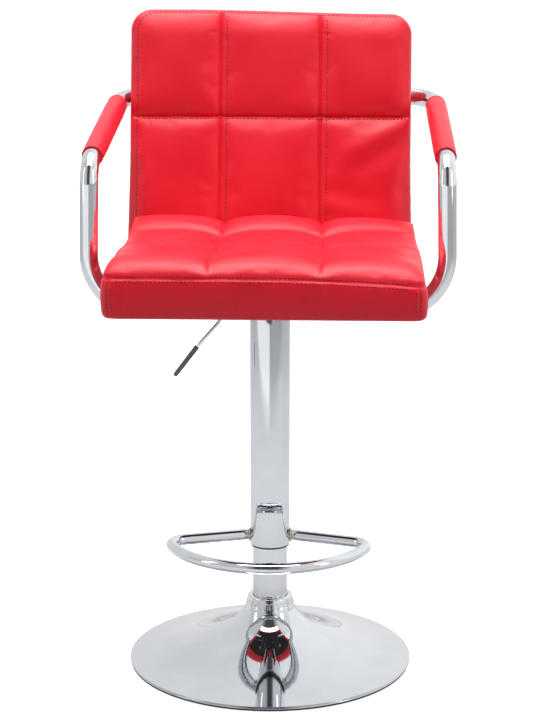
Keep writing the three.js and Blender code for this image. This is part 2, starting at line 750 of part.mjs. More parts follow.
// Outside of the shell seen from the side: underside, heel curve and rear plane.
function shellLine(front, top) {
  const heelEnd = [backRearAt(HEEL_Z), HEEL_Z];
  const heel = tangentCurve([HEEL_Y, 0], 0, heelEnd, 1 / Math.tan(LEAN), 6);
  return [[front, 0], ...heel, [backRearAt(top), top]];
}

const BOARD_FRONT = SEAT_FRONT + BOARD_FRONT_INSET;
const BOARD_TOP = BACK_HEIGHT - BOARD_INSET;
const BOARD_OUT = REAR_COVER + FIT; // depth of the board inside the shell's outline

// The plywood shell as an outline [y, z] grown on every side by a gap.
function boardOutline(gap) {
  const line = shellLine(BOARD_FRONT - gap, BOARD_TOP + gap);
  return stripOutline(line, BOARD_OUT - gap, BOARD_OUT + BOARD_THICK + gap);
}

// The recess that the shell and its covers fill.
function pocket() {
  const line = shellLine(BOARD_FRONT - FIT, BOARD_TOP + FIT);
  return acrossX(stripOutline(line, -BACK_THICK, BOARD_OUT + BOARD_THICK + FIT), BOARD_HALF + FIT);
}

// A frame on the back's rear plane: X towards the middle, Y up the back, Z out of it.
function rearFrame(side, x, z) {
  const out = new THREE.Vector3(0, Math.cos(LEAN), -Math.sin(LEAN));
  const up = new THREE.Vector3(0, Math.sin(LEAN), Math.cos(LEAN));
  const across = up.clone().cross(out);
  return new THREE.Matrix4().makeBasis(across, up, out).setPosition(side * x, backRearAt(z), z);
}

const ARM_X = HALF_WIDTH + ARM_GAP + ARM_DIAMETER / 2;
const ARM_END_X = PLATE.width / 2 + ARM_END_GAP;
const ARM_REAR_END_X = ARM_X - ARM_LEAN_IN.rear - ARM_BEND.rear - ARM_FLAT.reach;
const SEAT_END_SCREWS = [ARM_END_X + 12, Math.max(BOARD_HALF - 15, ARM_END_X + 25)];
const REAR_END_SCREWS = [ARM_REAR_END_X + 12, ARM_REAR_END_X + 38];

// Screw places under the seat and on the back, with +Z pointing into the plywood.
function screwPlaces() {
  const places = PLATE_SCREWS.map(([x, y], i) => ({
    name: `plate_screw_${i + 1}`,
    place: new THREE.Matrix4().makeTranslation(x, y, -FIT - PLATE.thick - FIT),
    grip: PLATE.thick + 2 * FIT,
  }));
  [[-1, 'left'], [1, 'right']].forEach(([side, word]) => {
    SEAT_END_SCREWS.forEach((x, i) => {
      places.push({
        name: `arm_seat_screw_${word}_${i + 1}`,
        place: new THREE.Matrix4().makeTranslation(side * x, ARM_FORWARD, -2 * FIT - ARM_FLAT.thick),
        grip: ARM_FLAT.thick + 2 * FIT,
      });
    });
    REAR_END_SCREWS.forEach((x, i) => {
      const flip = new THREE.Matrix4().makeRotationX(Math.PI);
      const lift = new THREE.Matrix4().makeTranslation(0, 0, ARM_FLAT.thick + 2 * FIT);
      places.push({
        name: `arm_rear_screw_${word}_${i + 1}`,
        place: rearFrame(side, x, ARM_REAR_HEIGHT).multiply(lift).multiply(flip),
        grip: ARM_FLAT.thick + 2 * FIT,
      });
    });
  });
  return places;
}

const SCREWS = screwPlaces();

function screws() {
  return SCREWS.map(({ name, place, grip }) => {
    const tip = grip + BOARD_OUT + SCREW.bite;
    const profile = [
      [0, -SCREW.headHeight],
      [SCREW.head, -SCREW.headHeight],
      [SCREW.head, 0],
      [SCREW.shank, 0],
      [SCREW.shank, tip],
      [0, tip],
    ];
    return piece(name, turned(profile, ROUND), STEEL, place);
  });
}

// Cutters for the screws' holes, wherever they pass.
function screwHoles() {
  return SCREWS.map(({ place, grip }) => {
    const tip = grip + BOARD_OUT + SCREW.bite + FIT;
    return drill(SCREW.hole, -SCREW.headHeight, tip, ROUND).applyMatrix4(place);
  });
}

function shellBoard() {
  const board = solid(acrossX(boardOutline(0), BOARD_HALF));
  return piece('shell_board', shaped(subtractAll(board, screwHoles())), PLYWOOD);
}

function undersideCover() {
  const sheet = block([-BOARD_HALF, BOARD_FRONT, 0], [BOARD_HALF, HEEL_Y - 2, COVER]);
  return piece('underside_cover', shaped(subtractAll(solid(sheet), screwHoles())), CLOTH);
}

function rearCover() {
  const line = shellLine(HEEL_Y - 1, BOARD_TOP).slice(1);
  const sheet = solid(acrossX(stripOutline(line, 0, REAR_COVER), BOARD_HALF));
  return piece('rear_cover', shaped(subtractAll(sheet, screwHoles())), RED);
}

// Outline with round corners, extruded a long way along Z: a form that trims a pad.
function trimForm(width, from, to, corner) {
  const shape = roundedRectangle(width, to - from, corner);
  const options = { depth: 2000, bevelEnabled: false, curveSegments: 4 };
  return new THREE.ExtrudeGeometry(shape, options).translate(0, (from + to) / 2, -1000);
}

// Trims for the corners seen from the front: tight at the foot, wide at the top.
function frontTrims(width) {
  const upright = (form) => solid(form.rotateX(Math.PI / 2));
  const foot = trimForm(width, 0, 2 * BACK_HEIGHT, PAD_EDGE);
  const top = trimForm(width, -BACK_HEIGHT, BACK_HEIGHT, BACK_CORNER);
  return upright(foot).intersect(upright(top));
}

function seatPad(reliefs) {
  const top = SEAT_THICK;
  const crest = top + CREST;
  const front = SEAT_FRONT;
  const outline = [
    [front + 3, 0],
    [backFrontAt(0) - FIT, 0],
    [backFrontAt(crest) - FIT, crest],
    [backFrontAt(crest) - 22, crest - 3],
    [backFrontAt(crest) - 60, top + 2],
    [front + 48, top],
    [front + 22, top - 4],
    [front + 6, top - 12],
    [front, SEAM_HEIGHT],
    [front, 6],
  ];
  const plan = trimForm(SEAT_WIDTH, SEAT_FRONT, -SEAT_FRONT, PAD_EDGE);
  const slab = solid(acrossX(outline, HALF_WIDTH));
  const body = slab.intersect(frontTrims(SEAT_WIDTH)).intersect(solid(plan));
  return piece('seat_pad', shaped(subtractAll(body, [pocket(), ...reliefs])), RED);
}

function backPad(reliefs) {
  const top = BACK_HEIGHT;
  const line = shellLine(backFrontAt(0), top - 18);
  const outline = [
    ...line,
    [backRearAt(top) - 6, top - 6],
    [backRearAt(top) - 16, top],
    [backFrontAt(top) + 14, top],
    [backFrontAt(top) + 2, top - 9],
    [backFrontAt(top - 22), top - 22],
  ];
  const depth = BACK_THICK / Math.cos(LEAN);
  const plan = trimForm(BACK_WIDTH, BACK_FRONT, BACK_FRONT + depth, PAD_EDGE);
  plan.applyMatrix4(new THREE.Matrix4().makeShear(0, 0, 0, 0, 0, Math.tan(LEAN)));
  const slab = solid(acrossX(outline, BACK_WIDTH / 2));
  const body = slab.intersect(frontTrims(BACK_WIDTH)).intersect(solid(plan));
  return piece('back_pad', shaped(subtractAll(body, [pocket(), ...reliefs])), RED);
}

// ---------- Arms ----------

// Corner points of the right arm's centre line, from under the seat to behind the back,
// with the given straight ends before the first bend and after the last.
function armCorners(entryLength, exitLength) {
  const entry = rad(ARM_ENTRY_SLOPE);
  const cut = ARM_BEND.seat * Math.tan((Math.PI / 2 - entry) / 2);
  const bendX = ARM_X - ARM_BEND.seat * (1 - Math.sin(entry));
  const bendZ = ARM_BEND_HEIGHT - ARM_BEND.seat * Math.cos(entry);
  const rearX = ARM_X - ARM_LEAN_IN.rear;
  const rearY = backRearAt(ARM_REAR_HEIGHT) + ARM_DIAMETER / 2 + 1.5;
  return [
    [bendX - entryLength * Math.cos(entry), ARM_FORWARD, bendZ - entryLength * Math.sin(entry)],
    [ARM_X, ARM_FORWARD, bendZ + cut * Math.sin(entry)],
    [ARM_X - ARM_LEAN_IN.front, ARM_FORWARD, ARM_FRONT_HEIGHT],
    [rearX, rearY, ARM_REAR_HEIGHT],
    [rearX - ARM_BEND.rear - exitLength, rearY, ARM_REAR_HEIGHT],
  ];
}

// Flattened end of a tube: a bar along +X with a round tip at X = 0.
function flattenedEnd(length) {
  const half = ARM_FLAT.width / 2;
  const shape = new THREE.Shape();
  shape.moveTo(length, -half);
  shape.lineTo(length, half);
  shape.lineTo(half, half);
  shape.absarc(half, 0, half, Math.PI / 2, Math.PI * 1.5, false);
  const options = { depth: ARM_FLAT.thick, bevelEnabled: false, curveSegments: 5 };
  return new THREE.ExtrudeGeometry(shape, options);
}

// The right arm: a bent tube with flattened, drilled ends, and the room it needs. The bore
// stops short of the flats, and a drain hole opens it on the side that faces the seat.
function armTube() {
  const corners = armCorners(ARM_ENTRY, ARM_EXIT);
  const radii = [ARM_BEND.seat, ARM_BEND.front, ARM_BEND.rear];
  const steps = [6, 5, 5];
  const route = roundedRoute(corners, radii, steps);
  const boreRoute = roundedRoute(armCorners(ARM_ENTRY - ARM_PLUG, ARM_EXIT - ARM_PLUG), radii, steps);
  const outside = solid(sweep(roundSection(ARM_DIAMETER / 2), route));
  const inside = sweep(roundSection(ARM_DIAMETER / 2 - ARM_WALL), boreRoute);
  const relief = sweep(roundSection(ARM_DIAMETER / 2 + PAD_RELIEF, ROUND, true), route);
  const drain = drill(DRAIN_RADIUS, -ARM_DIAMETER, 0, ROUND).rotateY(Math.PI / 2);
  drain.translate(ARM_X, ARM_FORWARD, ARM_BEND_HEIGHT + 10);
  const seatEnd = flattenedEnd(corners[0][0] + 4 - ARM_END_X);
  seatEnd.translate(ARM_END_X, ARM_FORWARD, -FIT - ARM_FLAT.thick);
  const rearEnd = flattenedEnd(corners.at(-1)[0] + 6 - ARM_REAR_END_X).translate(0, 0, FIT);
  rearEnd.rotateZ(Math.PI).applyMatrix4(rearFrame(1, ARM_REAR_END_X, ARM_REAR_HEIGHT));
  const whole = outside.add(solid(seatEnd)).add(solid(rearEnd));
  const tube = shaped(subtractAll(whole, [inside, drain, ...screwHoles()]));
  return { tube, relief, sleeve: armSleeve(corners) };
}

// Padded sleeve on the arm's top run.
function armSleeve(corners) {
  const [from, to] = corners.slice(2, 4).map((p) => new THREE.Vector3(...p));
  const along = to.clone().sub(from).normalize();
  const start = from.addScaledVector(along, SLEEVE.front);
  const end = to.addScaledVector(along, -SLEEVE.rear);
  const section = roundSection(ARM_DIAMETER / 2 + SLEEVE.wall);
  const bore = roundSection(ARM_DIAMETER / 2 + FIT, ROUND, true);
  section.holes.push(new THREE.Path(bore.getPoints().reverse()));
  return sweep(section, new Route([{ curve: new THREE.LineCurve3(start, end), steps: 1 }]));
}

// The same geometry on the other side of X = 0, with its faces still pointing out.
function mirrored(geometry) {
  return shaped(solid(geometry).mirror([1, 0, 0]));
}

// ---------- Assembly ----------

const bearing = thrustBearing();
const base = new THREE.Group();
base.add(
  floorPad(),
  trumpetBase(),
  baseBallast(),
  baseHub(),
  baseCollar(),
  lowerColumn(),
  columnFloorPlate(),
  guideBush(),
  bearing.lower,
  bearing.cage,
);

const swivel = new THREE.Group();
swivel.add(pistonRod(), piston(), rodClip(), bearing.upper);

const column = new THREE.Group();
column.add(
  gasCylinder(),
  cylinderEndGuide(),
  outerColumn(),
  glideBush(),
  columnHead(),
  footrest(),
  seatPlate(),
  controlHousing(),
  leverPivotPin(),
  leverRod(),
  leverGrip(),
  releasePin(),
);

const arm = armTube();
const reliefs = [arm.relief, mirrored(arm.relief)];
const seat = new THREE.Group();
seat.position.z = SEAT_HEIGHT;
seat.add(
  shellBoard(),
  undersideCover(),
  rearCover(),
  seatPad(reliefs),
  backPad(reliefs),
  piece('arm_tube_left', mirrored(arm.tube), CHROME),
  piece('arm_tube_right', arm.tube, CHROME),
  piece('arm_pad_left', mirrored(arm.sleeve), RED),
  piece('arm_pad_right', arm.sleeve, RED),
  ...screws(),
);

const stool = new THREE.Group();
stool.add(base, swivel, column, seat);

export default stool;
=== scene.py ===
"""Adjustable swivel stool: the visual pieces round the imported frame, in metres."""
import math

import bpy
import numpy as np
from numpy.linalg import norm
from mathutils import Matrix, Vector, noise
from mathutils.bvhtree import BVHTree


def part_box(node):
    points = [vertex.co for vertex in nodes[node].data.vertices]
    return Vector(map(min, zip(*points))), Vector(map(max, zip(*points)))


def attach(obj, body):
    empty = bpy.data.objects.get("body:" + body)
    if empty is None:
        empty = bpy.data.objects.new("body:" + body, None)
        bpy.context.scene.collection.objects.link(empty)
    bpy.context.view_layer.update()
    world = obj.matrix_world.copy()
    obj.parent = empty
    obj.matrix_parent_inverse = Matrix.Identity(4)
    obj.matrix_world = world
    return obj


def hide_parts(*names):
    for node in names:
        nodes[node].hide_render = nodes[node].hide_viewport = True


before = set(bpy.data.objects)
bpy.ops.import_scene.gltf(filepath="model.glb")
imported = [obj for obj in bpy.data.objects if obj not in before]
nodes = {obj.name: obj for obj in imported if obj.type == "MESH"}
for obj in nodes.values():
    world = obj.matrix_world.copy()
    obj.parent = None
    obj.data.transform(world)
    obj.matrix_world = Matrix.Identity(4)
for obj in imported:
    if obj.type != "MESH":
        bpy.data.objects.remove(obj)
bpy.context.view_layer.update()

MM = 0.001


def low(node):
    """Lowest corner of a CAD node, in millimetres."""
    return np.array(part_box(node)[0]) / MM


def high(node):
    """Highest corner of a CAD node, in millimetres."""
    return np.array(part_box(node)[1]) / MM


# ---------- Colours and materials ----------


def linear(code):
    """An sRGB hex colour as linear RGBA."""
    channels = [int(code[i : i + 2], 16) / 255 for i in (1, 3, 5)]
    curve = [c / 12.92 if c <= 0.04045 else ((c + 0.055) / 1.055) ** 2.4 for c in channels]
    return (*curve, 1.0)


def add(tree, kind, inputs=None, **settings):
    """Adds a node with its settings; an input is a value or another node's output."""
    made = tree.nodes.new("ShaderNode" + kind)
    for name, value in settings.items():
        setattr(made, name, value)
    for socket, value in (inputs or {}).items():
        if isinstance(value, bpy.types.NodeSocket):
            tree.links.new(value, made.inputs[socket])
        else:
            made.inputs[socket].default_value = value
    return made


def new_material(name):
    """An empty material with its surface shader, output and object coordinates."""
    material = bpy.data.materials.new(name)
    material.use_nodes = True
    tree = material.node_tree
    tree.nodes.clear()
    shader = add(tree, "BsdfPrincipled")
    add(tree, "OutputMaterial", {"Surface": shader.outputs["BSDF"]})
    place = add(tree, "TexCoord").outputs["Object"]
    return material, tree, shader, place


def plug(tree, shader, **sockets):
    """Links or sets the shader's sockets by name, with _ for a space."""
    for name, value in sockets.items():
        socket = shader.inputs[name.replace("_", " ")]
        if isinstance(value, bpy.types.NodeSocket):
            tree.links.new(value, socket)
        else:
            socket.default_value = value


def per_metre(size_mm):
    """Texture scale at which one feature is about this big."""
    return 1 / (size_mm * MM)


def colour_ramp(tree, factor, stops):
    """Colours along a factor, from (position, sRGB hex) stops."""
    made = add(tree, "ValToRGB", {"Fac": factor})
    ramp = made.color_ramp
    while len(ramp.elements) < len(stops):
        ramp.elements.new(0.5)
    for element, (position, code) in zip(ramp.elements, stops):
        element.position = position
        element.color = linear(code)
    return made.outputs["Color"]


def spread(tree, factor, low_value, high_value, start=0.0, end=1.0):
    """A factor carried from one range to another."""
    inputs = {
        "Value": factor, "From Min": start, "From Max": end, "To Min": low_value, "To Max": high_value
    }
    return add(tree, "MapRange", inputs).outputs["Result"]


# Leatherette: PVC film with an embossed grain on cloth. It gives a satin red with soft
# wide highlights, a fine pebble that breaks them up, and a paler bloom at grazing angles.
def leatherette(name, deep, main, bloom):
    material, tree, shader, place = new_material(name)
    cloudy = add(tree, "TexNoise", {"Vector": place, "Scale": per_metre(60), "Detail": 4.0})
    shade = colour_ramp(tree, cloudy.outputs["Fac"], [(0.3, deep), (0.7, main)])
    # the real pebble is 0.6 mm; drawn at 1.1 mm so that it shows
    pebble = add(
        tree, "TexVoronoi", {"Vector": place, "Scale": per_metre(1.1), "Randomness": 0.9},
        feature="DISTANCE_TO_EDGE",
    )
    crease = spread(tree, pebble.outputs["Distance"], 0.0, 1.0, 0.0, 0.16)
    fine = add(tree, "TexNoise", {"Vector": place, "Scale": per_metre(0.5), "Detail": 2.0})
    height = add(
        tree, "Mix", {"Factor": 0.3, "A": crease, "B": fine.outputs["Fac"]}, data_type="FLOAT"
    ).outputs["Result"]
    bump = add(tree, "Bump", {"Height": height, "Strength": 0.16, "Distance": 0.00012})
    grain = bump.outputs["Normal"]
    soft = add(tree, "TexNoise", {"Vector": place, "Scale": per_metre(28), "Detail": 3.0})
    waves = add(
        tree,
        "Bump",
        {"Height": soft.outputs["Fac"], "Strength": 0.3, "Distance": 0.0012, "Normal": grain},
    )
    roughness = spread(tree, cloudy.outputs["Fac"], 0.4, 0.52, 0.3, 0.7)
    plug(
        tree, shader, Base_Color=shade, Roughness=roughness, Normal=waves.outputs["Normal"], IOR=1.5,
        Sheen_Weight=0.08, Sheen_Roughness=0.4, Sheen_Tint=linear(bloom),
    )
    return material


# Chrome plate on polished steel: a mirror, a touch blue, with faint polishing haze and
# fingermarks that only roughness shows, and the slight waviness of a buffed tube.
def chrome(name, tint, haze_low, haze_high, wave):
    material, tree, shader, place = new_material(name)
    smear = add(tree, "TexNoise", {"Vector": place, "Scale": per_metre(45), "Detail": 5.0})
    dust = add(tree, "TexNoise", {"Vector": place, "Scale": per_metre(2.5), "Detail": 2.0})
    mixed = add(
        tree, "Mix", {"Factor": 0.25, "A": smear.outputs["Fac"], "B": dust.outputs["Fac"]},
        data_type="FLOAT",
    ).outputs["Result"]
    roughness = spread(tree, mixed, haze_low, haze_high, 0.35, 0.7)
    buffing = add(tree, "TexNoise", {"Vector": place, "Scale": per_metre(18), "Detail": 2.0})
    ripple = add(tree, "Bump", {"Height": buffing.outputs["Fac"], "Strength": wave, "Distance": 0.0004})
    shade = colour_ramp(tree, smear.outputs["Fac"], [(0.3, tint[0]), (0.7, tint[1])])
    plug(tree, shader, Base_Color=shade, Metallic=1.0, Roughness=roughness, Normal=ripple.outputs["Normal"])
    return material


# A dull coat or moulding: colour clouds, a fine surface texture, and even gloss.
def coated(name, dark, light, grain_mm, bump, rough, metallic=0.0):
    material, tree, shader, place = new_material(name)
    cloudy = add(tree, "TexNoise", {"Vector": place, "Scale": per_metre(25), "Detail": 4.0})
    grains = add(tree, "TexNoise", {"Vector": place, "Scale": per_metre(grain_mm), "Detail": 3.0})
    mixed = add(
        tree, "Mix", {"Factor": 0.5, "A": cloudy.outputs["Fac"], "B": grains.outputs["Fac"]},
        data_type="FLOAT",
    ).outputs["Result"]
    shade = colour_ramp(tree, mixed, [(0.35, dark), (0.65, light)])
    texture = add(
        tree, "Bump", {"Height": grains.outputs["Fac"], "Strength": bump, "Distance": grain_mm * MM * 0.3}
    )
    roughness = spread(tree, mixed, rough[0], rough[1], 0.35, 0.65)
    plug(
        tree, shader, Base_Color=shade, Metallic=metallic, Roughness=roughness,
        Normal=texture.outputs["Normal"],
    )
    return material


# Rotary-cut beech plywood: long pale grain across, fine pores.
def plywood(name):
    material, tree, shader, place = new_material(name)
    stretched = add(tree, "Mapping", {"Vector": place, "Scale": (0.12, 1.0, 1.0)})
    grain = add(
        tree,
        "TexNoise",
        {"Vector": stretched.outputs["Vector"], "Scale": per_metre(6), "Detail": 8.0, "Distortion": 0.6},
    )
    pores = add(
        tree, "TexNoise", {"Vector": stretched.outputs["Vector"], "Scale": per_metre(1.0), "Detail": 2.0}
    )
    browns = [(0.3, "#A97C49"), (0.55, "#C79C66"), (0.75, "#D8B582")]
    shade = colour_ramp(tree, grain.outputs["Fac"], browns)
    texture = add(tree, "Bump", {"Height": pores.outputs["Fac"], "Strength": 0.3, "Distance": 0.0003})
    plug(tree, shader, Base_Color=shade, Roughness=0.65, Normal=texture.outputs["Normal"])
    return material


# Spun-bonded dust cover: matt black fibres pressed into a felt with small dots.
def felt(name):
    material, tree, shader, place = new_material(name)
    fibres = add(
        tree, "TexNoise", {"Vector": place, "Scale": per_metre(0.9), "Detail": 6.0, "Distortion": 1.5}
    )
    dots = add(tree, "TexVoronoi", {"Vector": place, "Scale": per_metre(2.2), "Randomness": 0.15})
    pressed = spread(tree, dots.outputs["Distance"], 0.0, 1.0, 0.1, 0.35)
    height = add(
        tree, "Mix", {"Factor": 0.5, "A": fibres.outputs["Fac"], "B": pressed}, data_type="FLOAT"
    ).outputs["Result"]
    shade = colour_ramp(tree, height, [(0.3, "#101012"), (0.7, "#26262A")])
    texture = add(tree, "Bump", {"Height": height, "Strength": 0.6, "Distance": 0.0004})
    plug(
        tree, shader, Base_Color=shade, Roughness=0.95, Normal=texture.outputs["Normal"],
        Sheen_Weight=0.2, Sheen_Roughness=0.6,
    )
    return material


# Polyester thread: two plies twisted, so fine slanting lines run along each stitch.
def thread(name, dark, light):
    material, tree, shader, place = new_material(name)
    twist = add(
        tree, "TexWave", {"Vector": place, "Scale": per_metre(2.4), "Distortion": 2.0, "Detail": 1.0},
        bands_direction="DIAGONAL",
    )
    shade = colour_ramp(tree, twist.outputs["Fac"], [(0.2, dark), (0.8, light)])
    texture = add(tree, "Bump", {"Height": twist.outputs["Fac"], "Strength": 0.4, "Distance": 0.0002})
    plug(tree, shader, Base_Color=shade, Roughness=0.6, Normal=texture.outputs["Normal"])
    return material


RED_LEATHERETTE = leatherette("red_pvc_leatherette", "#E30524", "#EE0A2C", "#FFB0B0")
RED_REAR = leatherette("red_pvc_leatherette_rear", "#DA0522", "#E50A2A", "#FFB0B0")
CHROMED = chrome("chrome_plate", ("#D2D5D9", "#DADDE1"), 0.02, 0.06, 0.05)
CHROMED_TUBE = chrome("chrome_plate_tube", ("#D2D5D9", "#DCDFE2"), 0.03, 0.08, 0.1)
CHROMED_COLLAR = chrome("chrome_plated_abs", ("#D6D8DA", "#E0E1E3"), 0.02, 0.05, 0.12)
DARK_CHROME = chrome("smoked_chrome_grip", ("#4A4D52", "#5C5F64"), 0.08, 0.18, 0.15)
STEEL = chrome("zinc_plated_steel", ("#9A9C9F", "#ADAFB2"), 0.28, 0.42, 0.2)
BLACK_PAINT = coated("black_powder_coat", "#141416", "#1E1E21", 0.9, 0.35, (0.42, 0.55))
NYLON = coated("black_nylon", "#0E0E10", "#17171A", 1.5, 0.15, (0.35, 0.45))
RUBBER = coated("black_floor_rubber", "#0B0B0C", "#151516", 1.2, 0.4, (0.8, 0.92))
IRON = coated("cast_iron", "#303133", "#48494C", 2.0, 0.6, (0.6, 0.8), 0.6)
WELD = chrome("plated_weld_bead", ("#B9B29F", "#D3CDBD"), 0.1, 0.25, 0.6)
PLYWOOD = plywood("beech_plywood")
FELT = felt("black_spunbond")
THREAD = thread("red_polyester_thread", "#7E0E1A", "#A51826")


# ---------- Meshes ----------


def make(name, points, faces, body, material, replaces=(), sharp=35):
    """A smooth mesh piece from points in millimetres, riding on a body."""
    mesh = bpy.data.meshes.new(name)
    mesh.from_pydata([tuple(p) for p in np.asarray(points, float) * MM], [], [list(f) for f in faces])
    mesh.validate()
    mesh.shade_smooth()
    mesh.set_sharp_from_angle(angle=math.radians(sharp))
    mesh.materials.append(material)
    piece = bpy.data.objects.new(name, mesh)
    bpy.context.scene.collection.objects.link(piece)
    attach(piece, body)
    if replaces:
        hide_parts(*replaces)
    return piece


def rings(rows, count, closed=False):
    """Faces between rings of points that come one after another; caps unless closed."""
    faces = []
    for i in range(rows if closed else rows - 1):
        here, after = i * count, (i + 1) % rows * count
        for k in range(count):
            m = (k + 1) % count
            faces.append([here + k, here + m, after + m, after + k])
    if closed:
        return faces
    last = (rows - 1) * count
    return faces + [list(range(count))[::-1], [last + k for k in range(count)]]


def flipped(faces):
    return [face[::-1] for face in faces]


def on_side(side, points, faces):
    """The piece as built for the right, or its mirror image for the left."""
    if side > 0:
        return points, faces
    return points * (-1, 1, 1), flipped(faces)


def lathe(profile, count):
    """Points and faces of a turned piece from [radius, z] points, counter-clockwise."""
    turn = np.linspace(0, 2 * np.pi, count, endpoint=False)
    points = [(r * np.cos(a), r * np.sin(a), z) for r, z in np.array(profile, float) for a in turn]
    return np.array(points), rings(len(profile), count, closed=True)


def rounded(profile, radius, steps=4):
    """A closed outline with its corners rounded; radius is one number or one per corner."""
    corners = [np.array(p, float) for p in profile]
    radii = radius if isinstance(radius, (list, tuple)) else [radius] * len(corners)
    out = []
    for i, (corner, r) in enumerate(zip(corners, radii)):
        before, after = corners[i - 1], corners[(i + 1) % len(corners)]
        if r <= 0:
            out.append(corner)
            continue
        reach = min(r, 0.45 * norm(before - corner), 0.45 * norm(after - corner))
        start = corner + (before - corner) / norm(before - corner) * reach
        end = corner + (after - corner) / norm(after - corner) * reach
        for t in np.linspace(0, 1, steps + 1):
            out.append((1 - t) ** 2 * start + 2 * t * (1 - t) * corner + t**2 * end)
    return out


def tangent_curve(start, slope0, end, slope1, count):
    """Points of the arc-like curve between two points with given slopes."""
    (x0, y0), (x1, y1) = start, end
    x = (y1 - y0 + slope0 * x0 - slope1 * x1) / (slope0 - slope1)
    corner = np.array([x, y0 + slope0 * (x - x0)])
    a, b = np.array(start, float), np.array(end, float)
    return [(1 - t) ** 2 * a + 2 * t * (1 - t) * corner + t * t * b for t in np.linspace(0, 1, count + 1)]


def route(corners, radii, step=2.5):
    """Points along straights and round bends through corner points."""
    points = [np.array(c, float) for c in corners]
    path, start = [points[0]], points[0]
    for i, radius in enumerate(radii):
        corner = points[i + 1]
        along = corner - points[i]
        along /= norm(along)
        leaving = points[i + 2] - corner
        leaving /= norm(leaving)
        angle = math.acos(max(-1, min(1, float(along @ leaving))))
        cut = radius * math.tan(angle / 2)
        begin = corner - along * cut
        inward = leaving - along * float(leaving @ along)
        inward /= norm(inward)
        path += straight(start, begin, step)
        count = max(6, int(radius * angle / step))
        for k in range(1, count + 1):
            turn = angle * k / count
            path.append(begin + along * radius * math.sin(turn) + inward * radius * (1 - math.cos(turn)))
        start = corner + leaving * cut
    path += straight(start, points[-1], step)
    return np.array(path)


def straight(start, end, step):
    """Points after a start as far as an end, about a step apart."""
    count = max(1, int(norm(end - start) / (step * 3)))
    return [start + (end - start) * k / count for k in range(1, count + 1)]


def frames_along(path, up):
    """Tangent, side and upright directions along a path, without twist."""
    tangents = np.gradient(path, axis=0)
    tangents /= norm(tangents, axis=1)[:, None]
    side = np.cross(tangents[0], up)
    side /= norm(side)
    sides = [side]
    for t in tangents[1:]:
        side = sides[-1] - t * float(sides[-1] @ t)
        sides.append(side / norm(side))
    sides = np.array(sides)
    return tangents, sides, np.cross(sides, tangents)


def loft(path, up, section, count):
    """A closed tube along a path; section(i, angles) gives (side, upright) offsets."""
    _, sides, ups = frames_along(path, up)
    angles = np.linspace(0, 2 * np.pi, count, endpoint=False)
    points = []
    for i, centre in enumerate(path):
        a, b = section(i, angles)
        points.extend(centre + sides[i] * x + ups[i] * y for x, y in zip(a, b))
    return np.array(points), rings(len(path), count)


def round_tube(radius, path, up, count=40, ends=1.0):
    """A round bar along a path with its end edges eased."""
    gaps = norm(np.diff(path, axis=0), axis=1)
    run = np.concatenate([[0], np.cumsum(gaps)])
    ease = np.minimum(run, run[-1] - run)
    radii = radius - ends * np.clip(1 - ease / max(ends, 1e-6), 0, 1) ** 2

    def section(i, angles):
        return radii[i] * np.cos(angles), radii[i] * np.sin(angles)

    return loft(path, up, section, count)


def lattice(xs, ys, zs):
    """The surface of a box as a grid with these stations: points and outward faces."""
    nx, ny, nz = len(xs) - 1, len(ys) - 1, len(zs) - 1
    number, keys, faces = {}, [], []

    def vertex(key):
        if key not in number:
            number[key] = len(keys)
            keys.append(key)
        return number[key]

    def side(count_a, count_b, place, flip):
        for a in range(count_a):
            for b in range(count_b):
                quad = [vertex(place(a + i, b + j)) for i, j in ((0, 0), (1, 0), (1, 1), (0, 1))]
                faces.append(quad[::-1] if flip else quad)

    side(nx, ny, lambda a, b: (a, b, nz), False)
    side(nx, ny, lambda a, b: (a, b, 0), True)
    side(ny, nz, lambda a, b: (nx, a, b), False)
    side(ny, nz, lambda a, b: (0, a, b), True)
    side(nz, nx, lambda a, b: (b, ny, a), False)
    side(nz, nx, lambda a, b: (b, 0, a), True)
    keys = np.array(keys)
    points = np.stack([np.array(xs)[keys[:, 0]], np.array(ys)[keys[:, 1]], np.array(zs)[keys[:, 2]]], 1)
    return points, faces


def stations(breaks, fine, coarse):
    """Stations between breaks, close together near each break and wider between them."""
    out = [breaks[0]]
    for a, b in zip(breaks, breaks[1:]):
        reach, step, steps = 0.0, fine, []
        while reach + step < (b - a) / 2 - fine / 2:
            reach += step
            steps.append(reach)
            step = min(step * 1.3, coarse)
        middle = [] if (b - a) - 2 * reach < coarse else [(a + b) / 2]
        out += [a + s for s in steps] + middle + [b - s for s in reversed(steps)] + [b]
    return out


def smooth(t):
    """0 to 1 with level ends."""
    t = np.clip(t, 0, 1)
    return t * t * (3 - 2 * t)


def quarter(t):
    """0 to 1 as a quarter of an ellipse that rises steeply and levels off."""
    t = np.clip(t, 0, 1)
    return np.sqrt(1 - (1 - t) ** 2)


def ripple(points, size, seed):
    """Smooth noise from -1 to 1 at each point, with features of a size in millimetres."""
    shift = Vector((seed * 17.3, seed * 5.1, seed * 9.7))
    return np.array([noise.noise(Vector(p) / size + shift) for p in points])


def plan_round(x, y, half, y0, y1, radius):
    """Rounds the corners of a rectangle in plan; returns the new plan and its normal."""
    qx = np.clip(x, -half + radius, half - radius)
    qy = np.clip(y, y0 + radius, y1 - radius)
    dx, dy = (x - qx) / radius, (y - qy) / radius
    size = np.hypot(dx, dy)
    reach = np.maximum(abs(dx), abs(dy))
    safe = np.where(size > 1e-9, size, 1)
    nx, ny = dx / safe, dy / safe
    return qx + nx * reach * radius, qy + ny * reach * radius, nx, ny


# ---------- Sizes that come from the frame ----------

